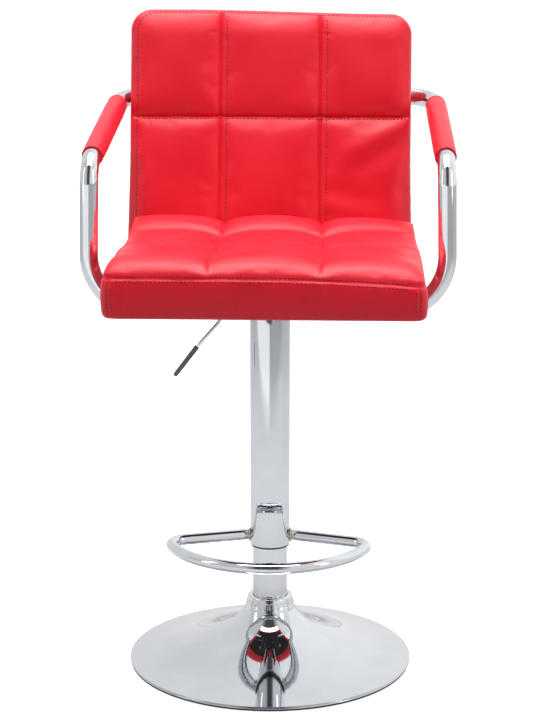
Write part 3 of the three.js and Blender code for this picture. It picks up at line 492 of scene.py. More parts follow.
BACK_LEAN = math.radians(11.3)  # of the back from upright
UNDERSIDE = low("seat_pad")[2]
SEAT_HALF = high("seat_pad")[0]
SEAT_FRONT = low("seat_pad")[1]
BACK_HALF = high("back_pad")[0] + 2.5
BACK_TALL = high("back_pad")[2] - UNDERSIDE
BACK_FRONT = 108.0  # the back's front plane, at the height of the seat's underside
BACK_DEPTH = 50 / math.cos(BACK_LEAN)
SEAM_ACROSS = 74.0  # the long quilt seams, from the middle line
OUTER_R = high("outer_column")[0]
LOWER_R = 25.0


def back_front(height):
    """Front plane of the back at a height above the seat's underside."""
    return BACK_FRONT + height * math.tan(BACK_LEAN)


# ---------- Base and column ----------


def outer_trumpet():
    """Outside line of the trumpet from its rim to its neck, as [radius, z]."""
    rim, throat, neck = (205.0, 5.0), (67.0, 44.5), (34.0, 78.0)
    slope = [-math.tan(math.radians(a)) for a in (5, 28.5, 60)]
    flare = tangent_curve(rim, slope[0], throat, slope[1], 40)
    rise = tangent_curve(throat, slope[1], neck, slope[2], 24)
    return flare + rise[1:]


def build_base():
    skin = 2.5
    outside = outer_trumpet()
    inside = []
    for i, p in enumerate(outside):
        before, after = outside[max(i - 1, 0)], outside[min(i + 1, len(outside) - 1)]
        along = (after - before) / norm(after - before)
        inside.append(p + skin * np.array([along[1], -along[0]]))
    inside = [p for p in inside if p[1] > 3.4]
    lip = [(204.0, 3.0), (204.7, 3.2), (205.0, 3.7), (205.0, 4.4), (204.8, 4.8), (204.3, 5.05)]
    profile = [(202.6, 3.0)] + lip + outside[1:] + inside[::-1]
    points, faces = lathe(profile[::-1], 320)
    make("spun_base", points, flipped(faces), "base", CHROMED, ["trumpet_base"])
    rim = high("floor_pad")[0]
    pad = rounded([(6, 0.2), (rim - 3, 0.2), (rim, 1.0), (rim, 2.7), (6, 2.7)], [0, 1.5, 1.0, 0.5, 0])
    points, faces = lathe(pad, 200)
    make("rubber_base_ring", points, faces, "base", RUBBER, ["floor_pad"])


def build_collar():
    """Plated collar with pressed notches round its flank."""
    foot, count = 75.0, 28
    flank = [(37.5 - 5.1 * t, foot + 21 * t) for t in np.linspace(0.03, 1, 30)]
    crown = [(32.2, 97.0), (31.6, 97.6), (30.6, 98.0), (26.6, 98.0), (25.7, 97.4), (25.4, 96.5)]
    hidden = [(25.4, 78.5), (34.4, 78.5), (36.1, 75.0)]
    profile = [(37.2, foot)] + flank + crown + hidden
    per_notch = 20
    points, faces = lathe(profile, count * per_notch)
    radius = np.hypot(points[:, 0], points[:, 1])
    turn = np.arctan2(points[:, 1], points[:, 0])
    place = (turn / (2 * np.pi) * count) % 1.0 - 0.5
    across = abs(place) * 2 * np.pi * radius / count
    along = abs(points[:, 2] - 87.5)
    inside = smooth((2.5 - across) / 0.5) * smooth((3.9 - along) / 0.7)
    inside = inside * (radius > 31.5)
    press = 1 - 0.8 * inside / radius
    points[:, 0] *= press
    points[:, 1] *= press
    make("notched_collar", points, faces, "base", CHROMED_COLLAR, ["base_collar"])


def build_columns():
    foot, top = low("lower_column")[2], high("lower_column")[2]
    profile = rounded(
        [(22, foot), (24, foot), (25, 60), (LOWER_R, top), (23, top), (23, 60)], [0, 0, 0, 0.8, 0.5, 0]
    )
    points, faces = lathe(profile, 128)
    make("fixed_column", points, faces, "base", CHROMED, ["lower_column"])
    foot, top = low("outer_column")[2], high("outer_column")[2]
    bore = OUTER_R - 1.5
    profile = rounded([(bore, foot), (OUTER_R, foot), (OUTER_R, top), (bore, top)], [0.3, 0.8, 0.6, 0.3])
    points, faces = lathe(profile, 128)
    make("sliding_column", points, faces, "seat_unit", CHROMED, ["outer_column"])
    lip = low("glide_bush")[2]
    profile = rounded(
        [(25.4, lip), (27.9, lip), (27.9, lip + 2), (26.7, lip + 2), (26.7, lip + 28), (25.4, lip + 28)],
        [0.3, 0.7, 0.4, 0.2, 0.2, 0.2],
    )
    points, faces = lathe(profile, 128)
    make("column_glide_bush", points, faces, "seat_unit", NYLON, ["glide_bush"])


def build_footrest():
    """D-shaped foot ring, welded to the column by both legs."""
    height = low("outer_column")[2] + 11.0
    half, forward, back = 146.0, -34.0, 7.0
    swing = math.radians(68)
    root = np.array([OUTER_R - 3.5, back])
    corner = np.array([half, forward])
    apex = np.array([0.0, forward - half * math.tan(swing)])
    leg, front = corner - root, apex - corner
    turn = math.atan2(leg[1], leg[0]) % (2 * math.pi) - math.atan2(front[1], front[0]) % (2 * math.pi)
    corner_cut = 24 * math.tan(turn / 2)
    front_cut = norm(front) - corner_cut - 4
    front_radius = front_cut / math.tan(swing)
    corners = [
        (-root[0], root[1], height), (-corner[0], corner[1], height), (apex[0], apex[1], height),
        (corner[0], corner[1], height), (root[0], root[1], height),
    ]
    path = route(corners, [24, front_radius, 24], 3)
    points, faces = round_tube(8, path, (0, 0, 1), 48, 0)
    # the legs end in the column's wall, clear of the bore that the bushes slide in
    reach = np.hypot(points[:, 0], points[:, 1])
    points[:, :2] *= np.maximum(1, (OUTER_R - 0.2) / reach)[:, None]
    make("foot_ring", points, faces, "seat_unit", CHROMED_TUBE, ["footrest"])
    for side, word in ((-1, "left"), (1, "right")):
        build_weld(side, word, height, leg / norm(leg), root)


def build_weld(side, word, height, along, root):
    """Bead where a leg of the foot ring meets the column."""
    across = np.array([-along[1], along[0]])
    path = []
    for a in np.linspace(0, 2 * np.pi, 73)[:-1]:
        offset = root + across * 8.6 * math.cos(a)
        lo, hi = 0.0, 40.0
        for _ in range(30):
            middle = (lo + hi) / 2
            if norm(offset + along * middle) < OUTER_R + 0.6:
                lo = middle
            else:
                hi = middle
        x, y = offset + along * lo
        path.append((side * x, y, height + 8.6 * math.sin(a)))
    path = np.array(path)
    count, ring = len(path), 12
    centre = path.mean(0)
    points = []
    for i, p in enumerate(path):
        tangent = path[(i + 1) % count] - path[i - 1]
        tangent /= norm(tangent)
        out = (p - centre) - tangent * float((p - centre) @ tangent)
        out /= norm(out)
        up = np.cross(tangent, out)
        radius = 1.7 + 0.35 * abs(math.sin(i * 2 * math.pi / 6))
        for k in range(ring):
            b = 2 * math.pi * k / ring
            points.append(p + radius * (out * math.cos(b) + up * math.sin(b)))
    faces = rings(count, ring, closed=True)
    if side < 0:
        faces = flipped(faces)
    make(f"foot_ring_weld_{word}", points, faces, "seat_unit", WELD)


# ---------- Lever ----------


def build_lever():
    """Bent lever rod with its slim grip."""
    bends = [(6, 0, -6.5), (-24, 0, -11), (-58, -2, -17), (-73, -3, -41), (-101, -5, -72), (-134, -6, -115)]
    corners = [(x, y, UNDERSIDE + z) for x, y, z in bends]
    path = route(corners, [20, 14, 30, 30], 1.5)
    end = np.array(corners[-1]) - np.array(corners[-2])
    end /= norm(end)
    grip_start = np.array(corners[-2]) + end * 4
    grip_end = grip_start + end * 54
    rod_end = grip_end - end * 4.5
    keep = [p for p in path if (np.array(p) - rod_end) @ end < 0]
    points, faces = round_tube(2.5, np.array(keep + [rod_end]), (0, 1, 0), 24, 0.5)
    make("lever_bar", points, faces, "lever", CHROMED_TUBE, ["lever_rod"])
    stops = np.array([0, 0.4, 1.2, 2.5, 5, 10, 20, 35, 48, 51, 52.6, 53.6, 54])
    radii = np.array([3.0, 3.5, 3.72, 3.75, 3.75, 3.7, 3.6, 3.5, 3.42, 3.3, 2.9, 2.0, 0.6])
    grip = [grip_start + end * s for s in stops]

    def section(i, angles):
        return radii[i] * np.cos(angles), radii[i] * np.sin(angles)

    points, faces = loft(np.array(grip), (0, 1, 0), section, 32)
    make("lever_finger_grip", points, faces, "lever", DARK_CHROME, ["lever_grip"])


# ---------- Arms ----------

ARM_X = 245.0
ARM_Y = -80.0
ARM_REAR_TOP = 267.0
TUBE_R = 12.5


def back_rear(height):
    """Rear plane of the back at a height above the seat's underside."""
    return back_front(height) + BACK_DEPTH


def arm_route():
    entry = math.radians(28)
    reach = 75 * math.tan((math.pi / 2 - entry) / 2)
    bend_x = ARM_X - 75 * (1 - math.sin(entry))
    bend_z = 62 - 75 * math.cos(entry)
    corner_z = bend_z + reach * math.sin(entry)
    rear_x = ARM_X - 8
    rear_y = back_rear(ARM_REAR_TOP) + TUBE_R + 1.5
    flat_y = back_rear(ARM_REAR_TOP) + 5.0
    corners = [
        (114, ARM_Y, -4.8), (bend_x - (bend_z + 4.8 + 3.0) / math.tan(entry) - 2.0, ARM_Y, -4.8),
        (ARM_X, ARM_Y, corner_z), (ARM_X - 4, ARM_Y, 190), (rear_x, rear_y, ARM_REAR_TOP),
        (rear_x - 46, rear_y, ARM_REAR_TOP), (rear_x - 70, flat_y, ARM_REAR_TOP),
        (rear_x - 102, flat_y, ARM_REAR_TOP),
    ]
    path = route(corners, [12, 75, 35, 40, 12, 12], 2.5)
    path[:, 2] += UNDERSIDE
    return path, [np.array(c, float) + (0, 0, UNDERSIDE) for c in corners]


def build_arm(side, word):
    """A bent tube with flattened ends, and its padded sleeve."""
    path, corners = arm_route()
    path = dense(path, 2.5)
    gaps = np.concatenate([[0], np.cumsum(norm(np.diff(path, axis=0), axis=1))])
    total = gaps[-1]
    flat_front, flat_rear = 84.0, 58.0
    front_share = 1 - smooth((gaps - (flat_front - 32)) / 42)
    share = np.maximum(front_share, 1 - smooth((total - gaps - (flat_rear - 30)) / 40))
    tip = np.minimum(gaps, total - gaps)
    narrow = quarter(np.clip(tip / 16.0, 0.02, 1))
    # the flat lies under the seat with its width along Y, and on the back with its width
    # up the back, which leans
    tangents, sides, _ = frames_along(path, (0, 0, 1))
    lean = np.array([0, math.sin(BACK_LEAN), math.cos(BACK_LEAN)])
    angles = np.linspace(0, 2 * np.pi, 48, endpoint=False)
    points = []
    for i, centre in enumerate(path):
        s = share[i]
        wide = sides[i] if gaps[i] < total / 2 else sides[i] * (1 - s) + lean * s
        wide = wide - tangents[i] * float(wide @ tangents[i])
        wide /= norm(wide)
        thin = np.cross(tangents[i], wide)
        half_wide = TUBE_R + (16.5 - TUBE_R) * s
        half_thin = TUBE_R + (4.5 - TUBE_R) * s
        power = 1 - 0.55 * s
        c, q = np.cos(angles), np.sin(angles)
        a = half_wide * np.sign(c) * abs(c) ** power * (narrow[i] if s > 0.9 else 1)
        b = half_thin * np.sign(q) * abs(q) ** power
        points.extend(centre + wide * x + thin * y for x, y in zip(a, b))
    points, faces = on_side(side, np.array(points), rings(len(path), len(angles)))
    make(f"arm_{word}", points, faces, "seat_unit", CHROMED_TUBE, [f"arm_tube_{word}"], 50)
    build_sleeve(side, word, corners[3], corners[4])
    return path


def dense(path, step):
    """A path resampled to even steps."""
    gaps = np.concatenate([[0], np.cumsum(norm(np.diff(path, axis=0), axis=1))])
    count = int(gaps[-1] / step) + 1
    at = np.linspace(0, gaps[-1], count)
    return np.stack([np.interp(at, gaps, path[:, k]) for k in range(3)], 1)


def build_sleeve(side, word, front, rear):
    """Padded sleeve on the arm's top run, with a turned hem at each end."""
    along = (rear - front) / norm(rear - front)
    start, end = front + along * 30, rear - along * 43
    length = norm(end - start)
    run = np.concatenate(
        [[0, 0.1, 0.5, 1.2, 2.2, 3.2, 3.8, 4.3, 5.0, 6.5, 9], np.arange(12, length - 11, 2.5)]
    )
    run = np.concatenate([run, length - np.array([9, 6.5, 5.0, 4.3, 3.8, 3.2, 2.2, 1.2, 0.5, 0.1, 0])])
    near = np.minimum(run, length - run)
    puff = 14.6 + 0.7 * smooth((near - 5) / 22)
    hem = 14.3 + 0.7 * np.sqrt(np.clip(1 - ((near - 2.2) / 2.3) ** 2, 0, 1))
    radii = np.where(near < 4.2, hem, np.where(near < 5.1, 13.9, puff))
    radii[0] = radii[-1] = 12.7
    path = np.array([start + along * s for s in run])

    def section(i, angles):
        wave = np.array(
            [
                noise.noise(Vector((math.cos(a) * 1.3 + side * 9, math.sin(a) * 1.3, run[i] / 17)))
                + 0.6 * noise.noise(Vector((math.cos(a) * 3, math.sin(a) * 3 + side * 4, run[i] / 6)))
                for a in angles
            ]
        )
        body = smooth((near[i] - 4) / 10)
        seam = np.exp(-(((angles - 1.5 * math.pi) / 0.07) ** 2))
        r = radii[i] + body * (0.45 * wave - 0.9 * seam)
        return r * np.cos(angles), r * np.sin(angles)

    points, faces = on_side(side, *loft(path, (0, 0, 1), section, 64))
    sleeve = make(
        f"arm_sleeve_{word}", points, faces, "seat_unit", RED_LEATHERETTE,
        [f"arm_pad_{word}"], 60,
    )


# ---------- Upholstery ----------


def crease(distance, sharp, soft, width):
    """Depth of a sewn seam: a crisp fold at the thread within a soft hollow."""
    return sharp * np.exp(-((distance / 1.5) ** 2)) + soft * np.exp(-((abs(distance) / width) ** 1.3))


def pillow(x, breaks, power):
    """0 on each break and 1 midway between breaks."""
    out = np.zeros_like(x)
    for a, b in zip(breaks, breaks[1:]):
        t = np.clip((x - a) / (b - a), 0, 1)
        inside = (x >= a) & (x <= b)
        out = np.where(inside, 1 - abs(2 * t - 1) ** power, out)
    return out


def fold(x, y, start, end, width, depth):
    """A soft crease that runs between two points and fades at its ends."""
    a, b = np.array(start, float), np.array(end, float)
    length = norm(b - a)
    along = ((x - a[0]) * (b - a)[0] + (y - a[1]) * (b - a)[1]) / length**2
    off = ((x - a[0]) * -(b - a)[1] + (y - a[1]) * (b - a)[0]) / length
    fade = smooth(along / 0.3) * smooth((1 - along) / 0.3)
    hollow = 0.7 * np.exp(-(((off - 1.6 * width) / width) ** 2))
    return fade * depth * (np.exp(-((off / width) ** 2)) - hollow)


def inflate(pad, held, cap, pressure):
    """Presses a sewn cover out from inside while its seams are held, and caps the move."""
    mesh = pad.data
    rest = np.array([v.co for v in mesh.vertices])
    group = pad.vertex_groups.new(name="held")
    for weight in np.unique(np.round(held, 1)):
        if weight > 0:
            chosen = np.nonzero(np.round(held, 1) == weight)[0].tolist()
            group.add(chosen, float(weight), "REPLACE")
    cloth = pad.modifiers.new("fill", "CLOTH")
    settings = cloth.settings
    settings.vertex_group_mass = "held"
    settings.use_pressure = True
    settings.uniform_pressure_force = pressure
    settings.shrink_min = -0.006
    settings.bending_stiffness = 2.0
    settings.effector_weights.gravity = 0
    cloth.collision_settings.use_collision = False
    cloth.point_cache.frame_start = 1
    cloth.point_cache.frame_end = 10
    scene = bpy.context.scene
    for step in range(1, 11):
        scene.frame_set(step)
    shown = pad.evaluated_get(bpy.context.evaluated_depsgraph_get())
    moved = np.array([v.co for v in shown.data.vertices])
    pad.modifiers.remove(cloth)
    pad.vertex_groups.remove(group)
    scene.frame_set(1)
    shift = moved - rest
    size = norm(shift, axis=1)
    limit = cap * MM
    scale = np.where(size > 1e-9, limit * np.tanh(size / limit) / np.maximum(size, 1e-9), 1)
    final = rest + shift * (scale * (1 - held))[:, None]
    mesh.vertices.foreach_set("co", final.ravel())
    mesh.update()


def subdivide(pad, levels):
    """Adds a subdivision surface to a pad and keeps its result as the mesh."""
    modifier = pad.modifiers.new("round", "SUBSURF")
    modifier.levels = modifier.render_levels = levels
    dg = bpy.context.evaluated_depsgraph_get()
    finished = bpy.data.meshes.new_from_object(pad.evaluated_get(dg))
    pad.modifiers.remove(modifier)
    pad.data = finished
    finished.name = pad.name
    finished.shade_smooth()


def press_clear(points, path, radius):
    """Pushes points out of a tube that runs along a path."""
    for side in (-1, 1):
        line = path * (side, 1, 1)
        a, b = line[:-1], line[1:]
        near = np.nonzero(np.min(abs(points[:, None, 0] - line[None, ::8, 0]), axis=1) < 40)[0]
        for i in near:
            p = points[i]
            t = np.clip(np.sum((p - a) * (b - a), 1) / np.sum((b - a) ** 2, 1), 0, 1)
            foot = a + (b - a) * t[:, None]
            gaps = norm(p - foot, axis=1)
            k = int(np.argmin(gaps))
            if gaps[k] < radius:
                points[i] = foot[k] + (p - foot[k]) * (radius / max(gaps[k], 1e-6))
    return points


SEAT_SEAM = 50.0  # front seam above the underside
SEAT_TOP = 73.0
SEAT_CROSS = 8.0  # midway between the two cross folds
CORNER_SEAM = 10.0  # corner seams of the seat's band, in from its sides
BACK_CROSS = 240.0  # the back's cross seam above the underside
BACK_SHIFT = -8.0  # the cushion sits a little to one side on its board


def seat_height_map(x, y, y1):
    """Height of the seat's cover above its perimeter seam."""
    front = quarter((y - SEAT_FRONT) / 46) ** 1.1
    rear = quarter((y1 - y) / 26)
    side = quarter((SEAT_HALF - abs(x)) / 22)
    edge = front * rear * (0.25 + 0.75 * side)
    back_part = smooth((y - 30) / 80)
    crest = 20 * smooth((y - (y1 - 105)) / 85) - 8 * smooth((x - 90) / 110) * back_part
    arch = pillow(x, [-SEAT_HALF - 20, -SEAM_ACROSS, SEAM_ACROSS, SEAT_HALF + 20], 2.4)
    along = pillow(y, [SEAT_FRONT - 30, SEAT_CROSS - 30, SEAT_CROSS + 30, y1 + 25], 3.0)
    rise = SEAT_TOP - SEAT_SEAM - 1.5
    height = rise * edge + crest * rear
    height += (4.5 * (0.5 + 0.5 * along) + 6.0 * back_part) * arch * edge
    fade = front * (0.3 + 0.7 * rear)
    height -= crease(abs(x) - SEAM_ACROSS, 2.0, 2.6, 9.0) * fade
    # two soft folds cross each panel, bowed towards the back
    for offset, depth in ((30, 3.6), (-30, 3.0)):
        height -= depth * np.exp(-(abs(y - SEAT_CROSS - offset - 10 * arch) / 6.5) ** 1.3) * side
    return height


def build_seat(arm_path):
    """Seat cushion: quilted top panel over a plain band, sewn round the edge."""
    y1 = back_front(0) - 1.0
    half, radius, eased = SEAT_HALF + 1.5, 15.0, 6.0
    edge = [half - 26, half - CORNER_SEAM]
    xs = stations([-half, -edge[1], -edge[0], -SEAM_ACROSS, SEAM_ACROSS, edge[0], edge[1], half], 1.4, 6)
    ys = stations([SEAT_FRONT, SEAT_FRONT + 15, SEAT_CROSS - 25, SEAT_CROSS + 35, y1 - 15, y1], 2.2, 4)
    ws = [0, 0.03, 0.08, 0.14, 0.22, 0.34, 0.48, 0.62, 0.76, 0.86, 0.93, 0.965, 0.985, 1.0]
    grid, faces = lattice(xs, ys, ws)
    gx, gy, w = grid.T
    x, y, nx, ny = plan_round(gx, gy, half, SEAT_FRONT, y1, radius)
    top = w > 0.9999
    bottom = w < 0.0001
    rim = (abs(gx) > half - 1e-6) | (gy < SEAT_FRONT + 1e-6) | (gy > y1 - 1e-6)
    slump = 9.0 * np.clip(x / half, 0, 1) ** 1.6 * smooth((60 - y) / 200)
    seam = SEAT_SEAM - slump + 14 * smooth((y + 150) / 180) + 12 * smooth((y - 20) / 80)
    z = w * seam
    lift = seat_height_map(x, y, y1)
    z = np.where(top, np.maximum(seam, seam + lift - (seam - SEAT_SEAM + slump)
                                 * quarter((half - abs(x)) / 24) * quarter((y - SEAT_FRONT) / 30)), z)
    inset = eased * (1 - quarter(z / eased))
    bulge = 2.6 * np.sin(np.pi * np.clip(w, 0, 1)) ** 0.7
    pinch = 1.6 * np.exp(-(((w - 1) / 0.045) ** 2))
    front_rim = rim & (gy < SEAT_FRONT + 1e-6)
    pinch = pinch + np.where(front_rim, 1.3 * np.exp(-(((abs(gx) - half + CORNER_SEAM) / 1.6) ** 2)), 0)
    out = np.where(rim & ~(top & ~rim), bulge - inset - pinch, 0)
    shrink = (half - eased) / half
    x = np.where(bottom & ~rim, x * shrink, x + nx * out)
    middle = (SEAT_FRONT + y1) / 2
    y = np.where(bottom & ~rim, middle + (y - middle) * shrink, y + ny * out)
    # the cushion narrows towards the back, and its rear face leans with the back
    x = x * (1 - 0.035 * smooth((y + 60) / 170))
    y = y + z * math.tan(BACK_LEAN) * smooth((y + 60) / 160)
    points = np.stack([x, y, z + UNDERSIDE], 1)
    inner = bottom & (abs(gx) < 186) & (gy > SEAT_FRONT + 20)
    points[:, 2] += np.where(inner, 1.6, 0)
    droop = 4.0 * smooth((1 - w) / 0.9) * smooth((-60 - gy) / 80)
    points[:, 2] -= np.where(inner, 0, droop)
    # soft folds in the cover
    creases = [
        ((-150, 62), (-60, 48), 5, 1.0), ((-190, 20), (-110, 8), 6, 1.2), ((40, 40), (120, 62), 6, 0.9),
        ((110, 30), (200, -8), 7, 1.5), ((-60, -120), (10, -150), 8, 0.7),
        ((120, -70), (190, -120), 8, 0.9),
    ]
    for start, end, width, depth in creases:
        points[:, 2] += np.where(top & ~rim, fold(gx, gy, start, end, width, depth), 0)
    points[:, 2] += np.where(top, 0.9 * ripple(np.stack([gx, gy, 0 * gx], 1), 55, 1), 0)
    face_wave = ripple(np.stack([gx, gy, 60 * w], 1), 45, 2)
    points[:, 1] += np.where(rim & ~top & (gy < 0), 0.8 * face_wave, 0)
    points = press_clear(points, arm_path, TUBE_R + 0.8)
    pad = make(
        "seat_cushion", points, faces, "seat_unit", RED_LEATHERETTE, ["seat_pad"], 180
    )
    long_seams = np.exp(-(((abs(gx) - SEAM_ACROSS) / 2.0) ** 2))
    seams = np.maximum(long_seams, 0.9 * np.exp(-(((gy - SEAT_CROSS) / 3.0) ** 2)))
    held = np.where(top & ~rim, seams, 0.25)
    held = np.where(rim & (w > 0.95), 1.0, held)
    held = np.where(bottom | (gy > y1 - 1e-6) | (w < 0.1), 1.0, held)
    inflate(pad, held, 1.2, 2.0)
    subdivide(pad, 1)
    return pad


def back_dip(x, height):
    """How far the back's upper part hangs down towards one end."""
    return 7.0 * smooth((x + 140) / 340) * smooth((height - 200) / 190)


def build_back(arm_path):
    """Back cushion: quilted face over a plain band, closed by the rear panel."""
    half, tall, radius, eased = BACK_HALF, BACK_TALL, 30.0, 8.0
    xs = stations([-half, -half + 30, -SEAM_ACROSS, SEAM_ACROSS, half - 30, half], 1.4, 6)
    hs = stations([0, 30, BACK_CROSS, tall - 30, tall], 1.4, 6)
    ws = [0, 0.03, 0.08, 0.15, 0.25, 0.38, 0.52, 0.66, 0.8, 0.9, 0.95, 0.98, 1.0]
    grid, faces = lattice(xs, hs, ws)
    gx, gh, w = grid.T
    x, h, nx, nh = plan_round(gx, gh, half, 0, tall, radius)
    # the foot is square: it stands behind the seat
    low_part = smooth((70 - gh) / 30)
    x, h = x + (gx - x) * low_part, h + (gh - h) * low_part
    face = w > 0.9999
    rear = w < 0.0001
    rim = (abs(gx) > half - 1e-6) | (gh < 1e-6) | (gh > tall - 1e-6)
    seam_at = BACK_DEPTH - 15.0
    depth = w * seam_at
    side = quarter((half - abs(x)) / 34)
    top = quarter((tall - h) / 38)
    edge = side * top
    across = pillow(x, [-half - 12, -SEAM_ACROSS, SEAM_ACROSS, half + 12], 2.8)
    along = pillow(h, [40, BACK_CROSS, tall + 14], 3.0)
    height = 11.0 * edge + 4.6 * across * along * edge
    height -= crease(abs(x) - SEAM_ACROSS, 2.6, 4.0, 7.0) * top
    height -= crease(h - BACK_CROSS, 2.6, 4.2, 7.5) * side
    height += fold(gx, gh, (208, 236), (96, 176), 15, 3.0)
    height += fold(gx, gh, (60, 118), (170, 96), 12, 1.2)
    height += fold(gx, gh, (-195, 225), (-175, 130), 9, 0.8)
    height += 0.9 * ripple(np.stack([gx, gh, 0 * gx], 1), 70, 3) * edge
    depth = np.where(face, seam_at + np.maximum(height, 0) * ~rim, depth)
    bulge = 0.6 * np.sin(np.pi * np.clip(w, 0, 1)) ** 0.8
    pinch = 0.7 * np.exp(-(((w - 1) / 0.05) ** 2))
    inset = eased * (1 - quarter(depth / eased))
    out = np.where(rim, bulge - pinch - inset, 0)
    shrink = (half - eased) / half
    x = np.where(rear & ~rim, x * shrink, x + nx * out)
    h = np.where(rear & ~rim, tall / 2 + (h - tall / 2) * (1 - 2 * eased / tall), h + nh * out)
    h = np.clip(h, 0, None)
    # the heel rounds into the underside
    heel = 45.0 * (1 - quarter(h / 44.0))
    room = (BACK_DEPTH - heel) / BACK_DEPTH
    behind = (BACK_DEPTH - depth) * room
    dip = back_dip(x, h)
    y = back_front(0) + h * math.tan(BACK_LEAN) + behind
    x = x * (1 + 0.015 * smooth((190 - h) / 190)) + BACK_SHIFT
    points = np.stack([x, y, h - dip + UNDERSIDE], 1)
    inner = rear & (abs(gx) < 183) & (gh > 47) & (gh < tall - 24)
    points[:, 1] -= np.where(inner, 3.2, 0)
    points = press_clear(points, arm_path, TUBE_R + 0.8)
    pad = make(
        "back_cushion", points, faces, "seat_unit", RED_LEATHERETTE, ["back_pad"], 180
    )
    seams = np.maximum(
        np.exp(-((abs(abs(gx) - SEAM_ACROSS) / 2.0) ** 2)), np.exp(-((abs(gh - BACK_CROSS) / 2.0) ** 2))
    )
    held = np.where(face & ~rim, seams, 0.3)
    held = np.where(rim & (w > 0.95), 1.0, held)
    held = np.where(rear | (gh < 40) | (w < 0.1), 1.0, held)
    inflate(pad, held, 1.2, 2.0)
    subdivide(pad, 1)
    return pad


# ---------- Stitching ----------


def surface_line(tree, origins, direction):
    """Where rays from points, in millimetres, first meet a surface: places and normals."""
    hits = []
    for origin in origins:
        place, normal, _, _ = tree.ray_cast(Vector(origin) * MM, Vector(direction))
        if place is not None:
            hits.append((np.array(place) / MM, np.array(normal)))
    return hits


def sew(name, lines, pitch=5.6, length=3.6, radius=0.75):
    """Stitches of thread along lines of (place, normal) on a cover."""
    stops = np.array([-1, -0.82, -0.4, 0.4, 0.82, 1.0])
    sizes = np.array([0.15, 0.7, 1.0, 1.0, 0.7, 0.15])
    sides = 6
    points, faces = [], []
    for hits in lines:
        places = np.array([p for p, _ in hits])
        normals = np.array([n for _, n in hits])
        run = np.concatenate([[0], np.cumsum(norm(np.diff(places, axis=0), axis=1))])
        for at in np.arange(pitch, run[-1] - pitch, pitch):
            here = np.array([np.interp(at, run, places[:, k]) for k in range(3)])
            ahead = np.array([np.interp(at + 1, run, places[:, k]) for k in range(3)])
            normal = np.array([np.interp(at, run, normals[:, k]) for k in range(3)])
            normal /= norm(normal)
            along = ahead - here
            if norm(along) < 0.2:
                continue
            along /= norm(along)
            across = np.cross(normal, along)
            first = len(points)
            for s, size in zip(stops, sizes):
                lift = 0.28 - 0.55 * s * s
                for k in range(sides):
                    a = 2 * math.pi * k / sides
                    r = radius * size
                    offset = across * math.cos(a) * r + normal * (math.sin(a) * r + lift)
                    points.append(here + along * s * length / 2 + offset)
            faces += [[first + k for k in face] for face in rings(len(stops), sides)]
    # the outlines turn the other way round, so the faces are flipped to look out
    return make(name, points, flipped(faces), "seat_unit", THREAD, sharp=60)


def surface_of(pad):
    dg = bpy.context.evaluated_depsgraph_get()
    return BVHTree.FromObject(pad, dg)


def build_stitching(seat, back):
    back_tree, seat_tree = surface_of(back), surface_of(seat)
    lines = []
    forward = (0, 1, 0)
    for x in (-SEAM_ACROSS, SEAM_ACROSS):
        up = [(x + 2.4, -400, UNDERSIDE + h) for h in np.arange(60, BACK_TALL - 6, 3)]
        lines.append(surface_line(back_tree, up, forward))
    below = UNDERSIDE + BACK_CROSS - 3.2
    across = [(x, -400, below - back_dip(x, BACK_CROSS)) for x in np.arange(-200, 201, 3)]
    lines.append(surface_line(back_tree, across, forward))
    radius, inset = 30.0, 3.6
    bend, centre = radius - inset, BACK_HALF - radius
    rim = [(-BACK_HALF + inset, h) for h in np.arange(70, BACK_TALL - radius, 3)]

    def corner_of_rim(middle, start, end):
        for a in np.linspace(start, end, 14):
            rim.append((middle + bend * math.cos(a), BACK_TALL - radius + bend * math.sin(a)))

    corner_of_rim(-centre, math.pi, math.pi / 2)
    rim += [(x, BACK_TALL - inset) for x in np.arange(-centre + 3, centre, 3)]
    corner_of_rim(centre, math.pi / 2, 0)
    rim += [(BACK_HALF - inset, h) for h in np.arange(BACK_TALL - radius, 70, -3)]
    rays = [(x, -400, UNDERSIDE + h - back_dip(x, h)) for x, h in rim]
    lines.append(surface_line(back_tree, rays, forward))
    sew("back_stitching", [line for line in lines if len(line) > 3])
    lines = []
    for above in (-3.4, 3.0):
        rays = []
        for x in np.arange(-196, 197, 3):
            slump = 9.0 * max(x / SEAT_HALF, 0) ** 1.6
            rays.append((x, -400, UNDERSIDE + SEAT_SEAM - slump + above))
        lines.append(surface_line(seat_tree, rays, forward))
    corner = SEAT_HALF + 1.5 - CORNER_SEAM
    for x in (-corner - 3, -corner + 3, corner - 3, corner + 3):
        rays = [(x, -400, UNDERSIDE + z) for z in np.arange(6, 46, 2.5)]
        lines.append(surface_line(seat_tree, rays, forward))
    sew("seat_stitching", [line for line in lines if len(line) > 3])


# ---------- Rear panel and dust cover ----------


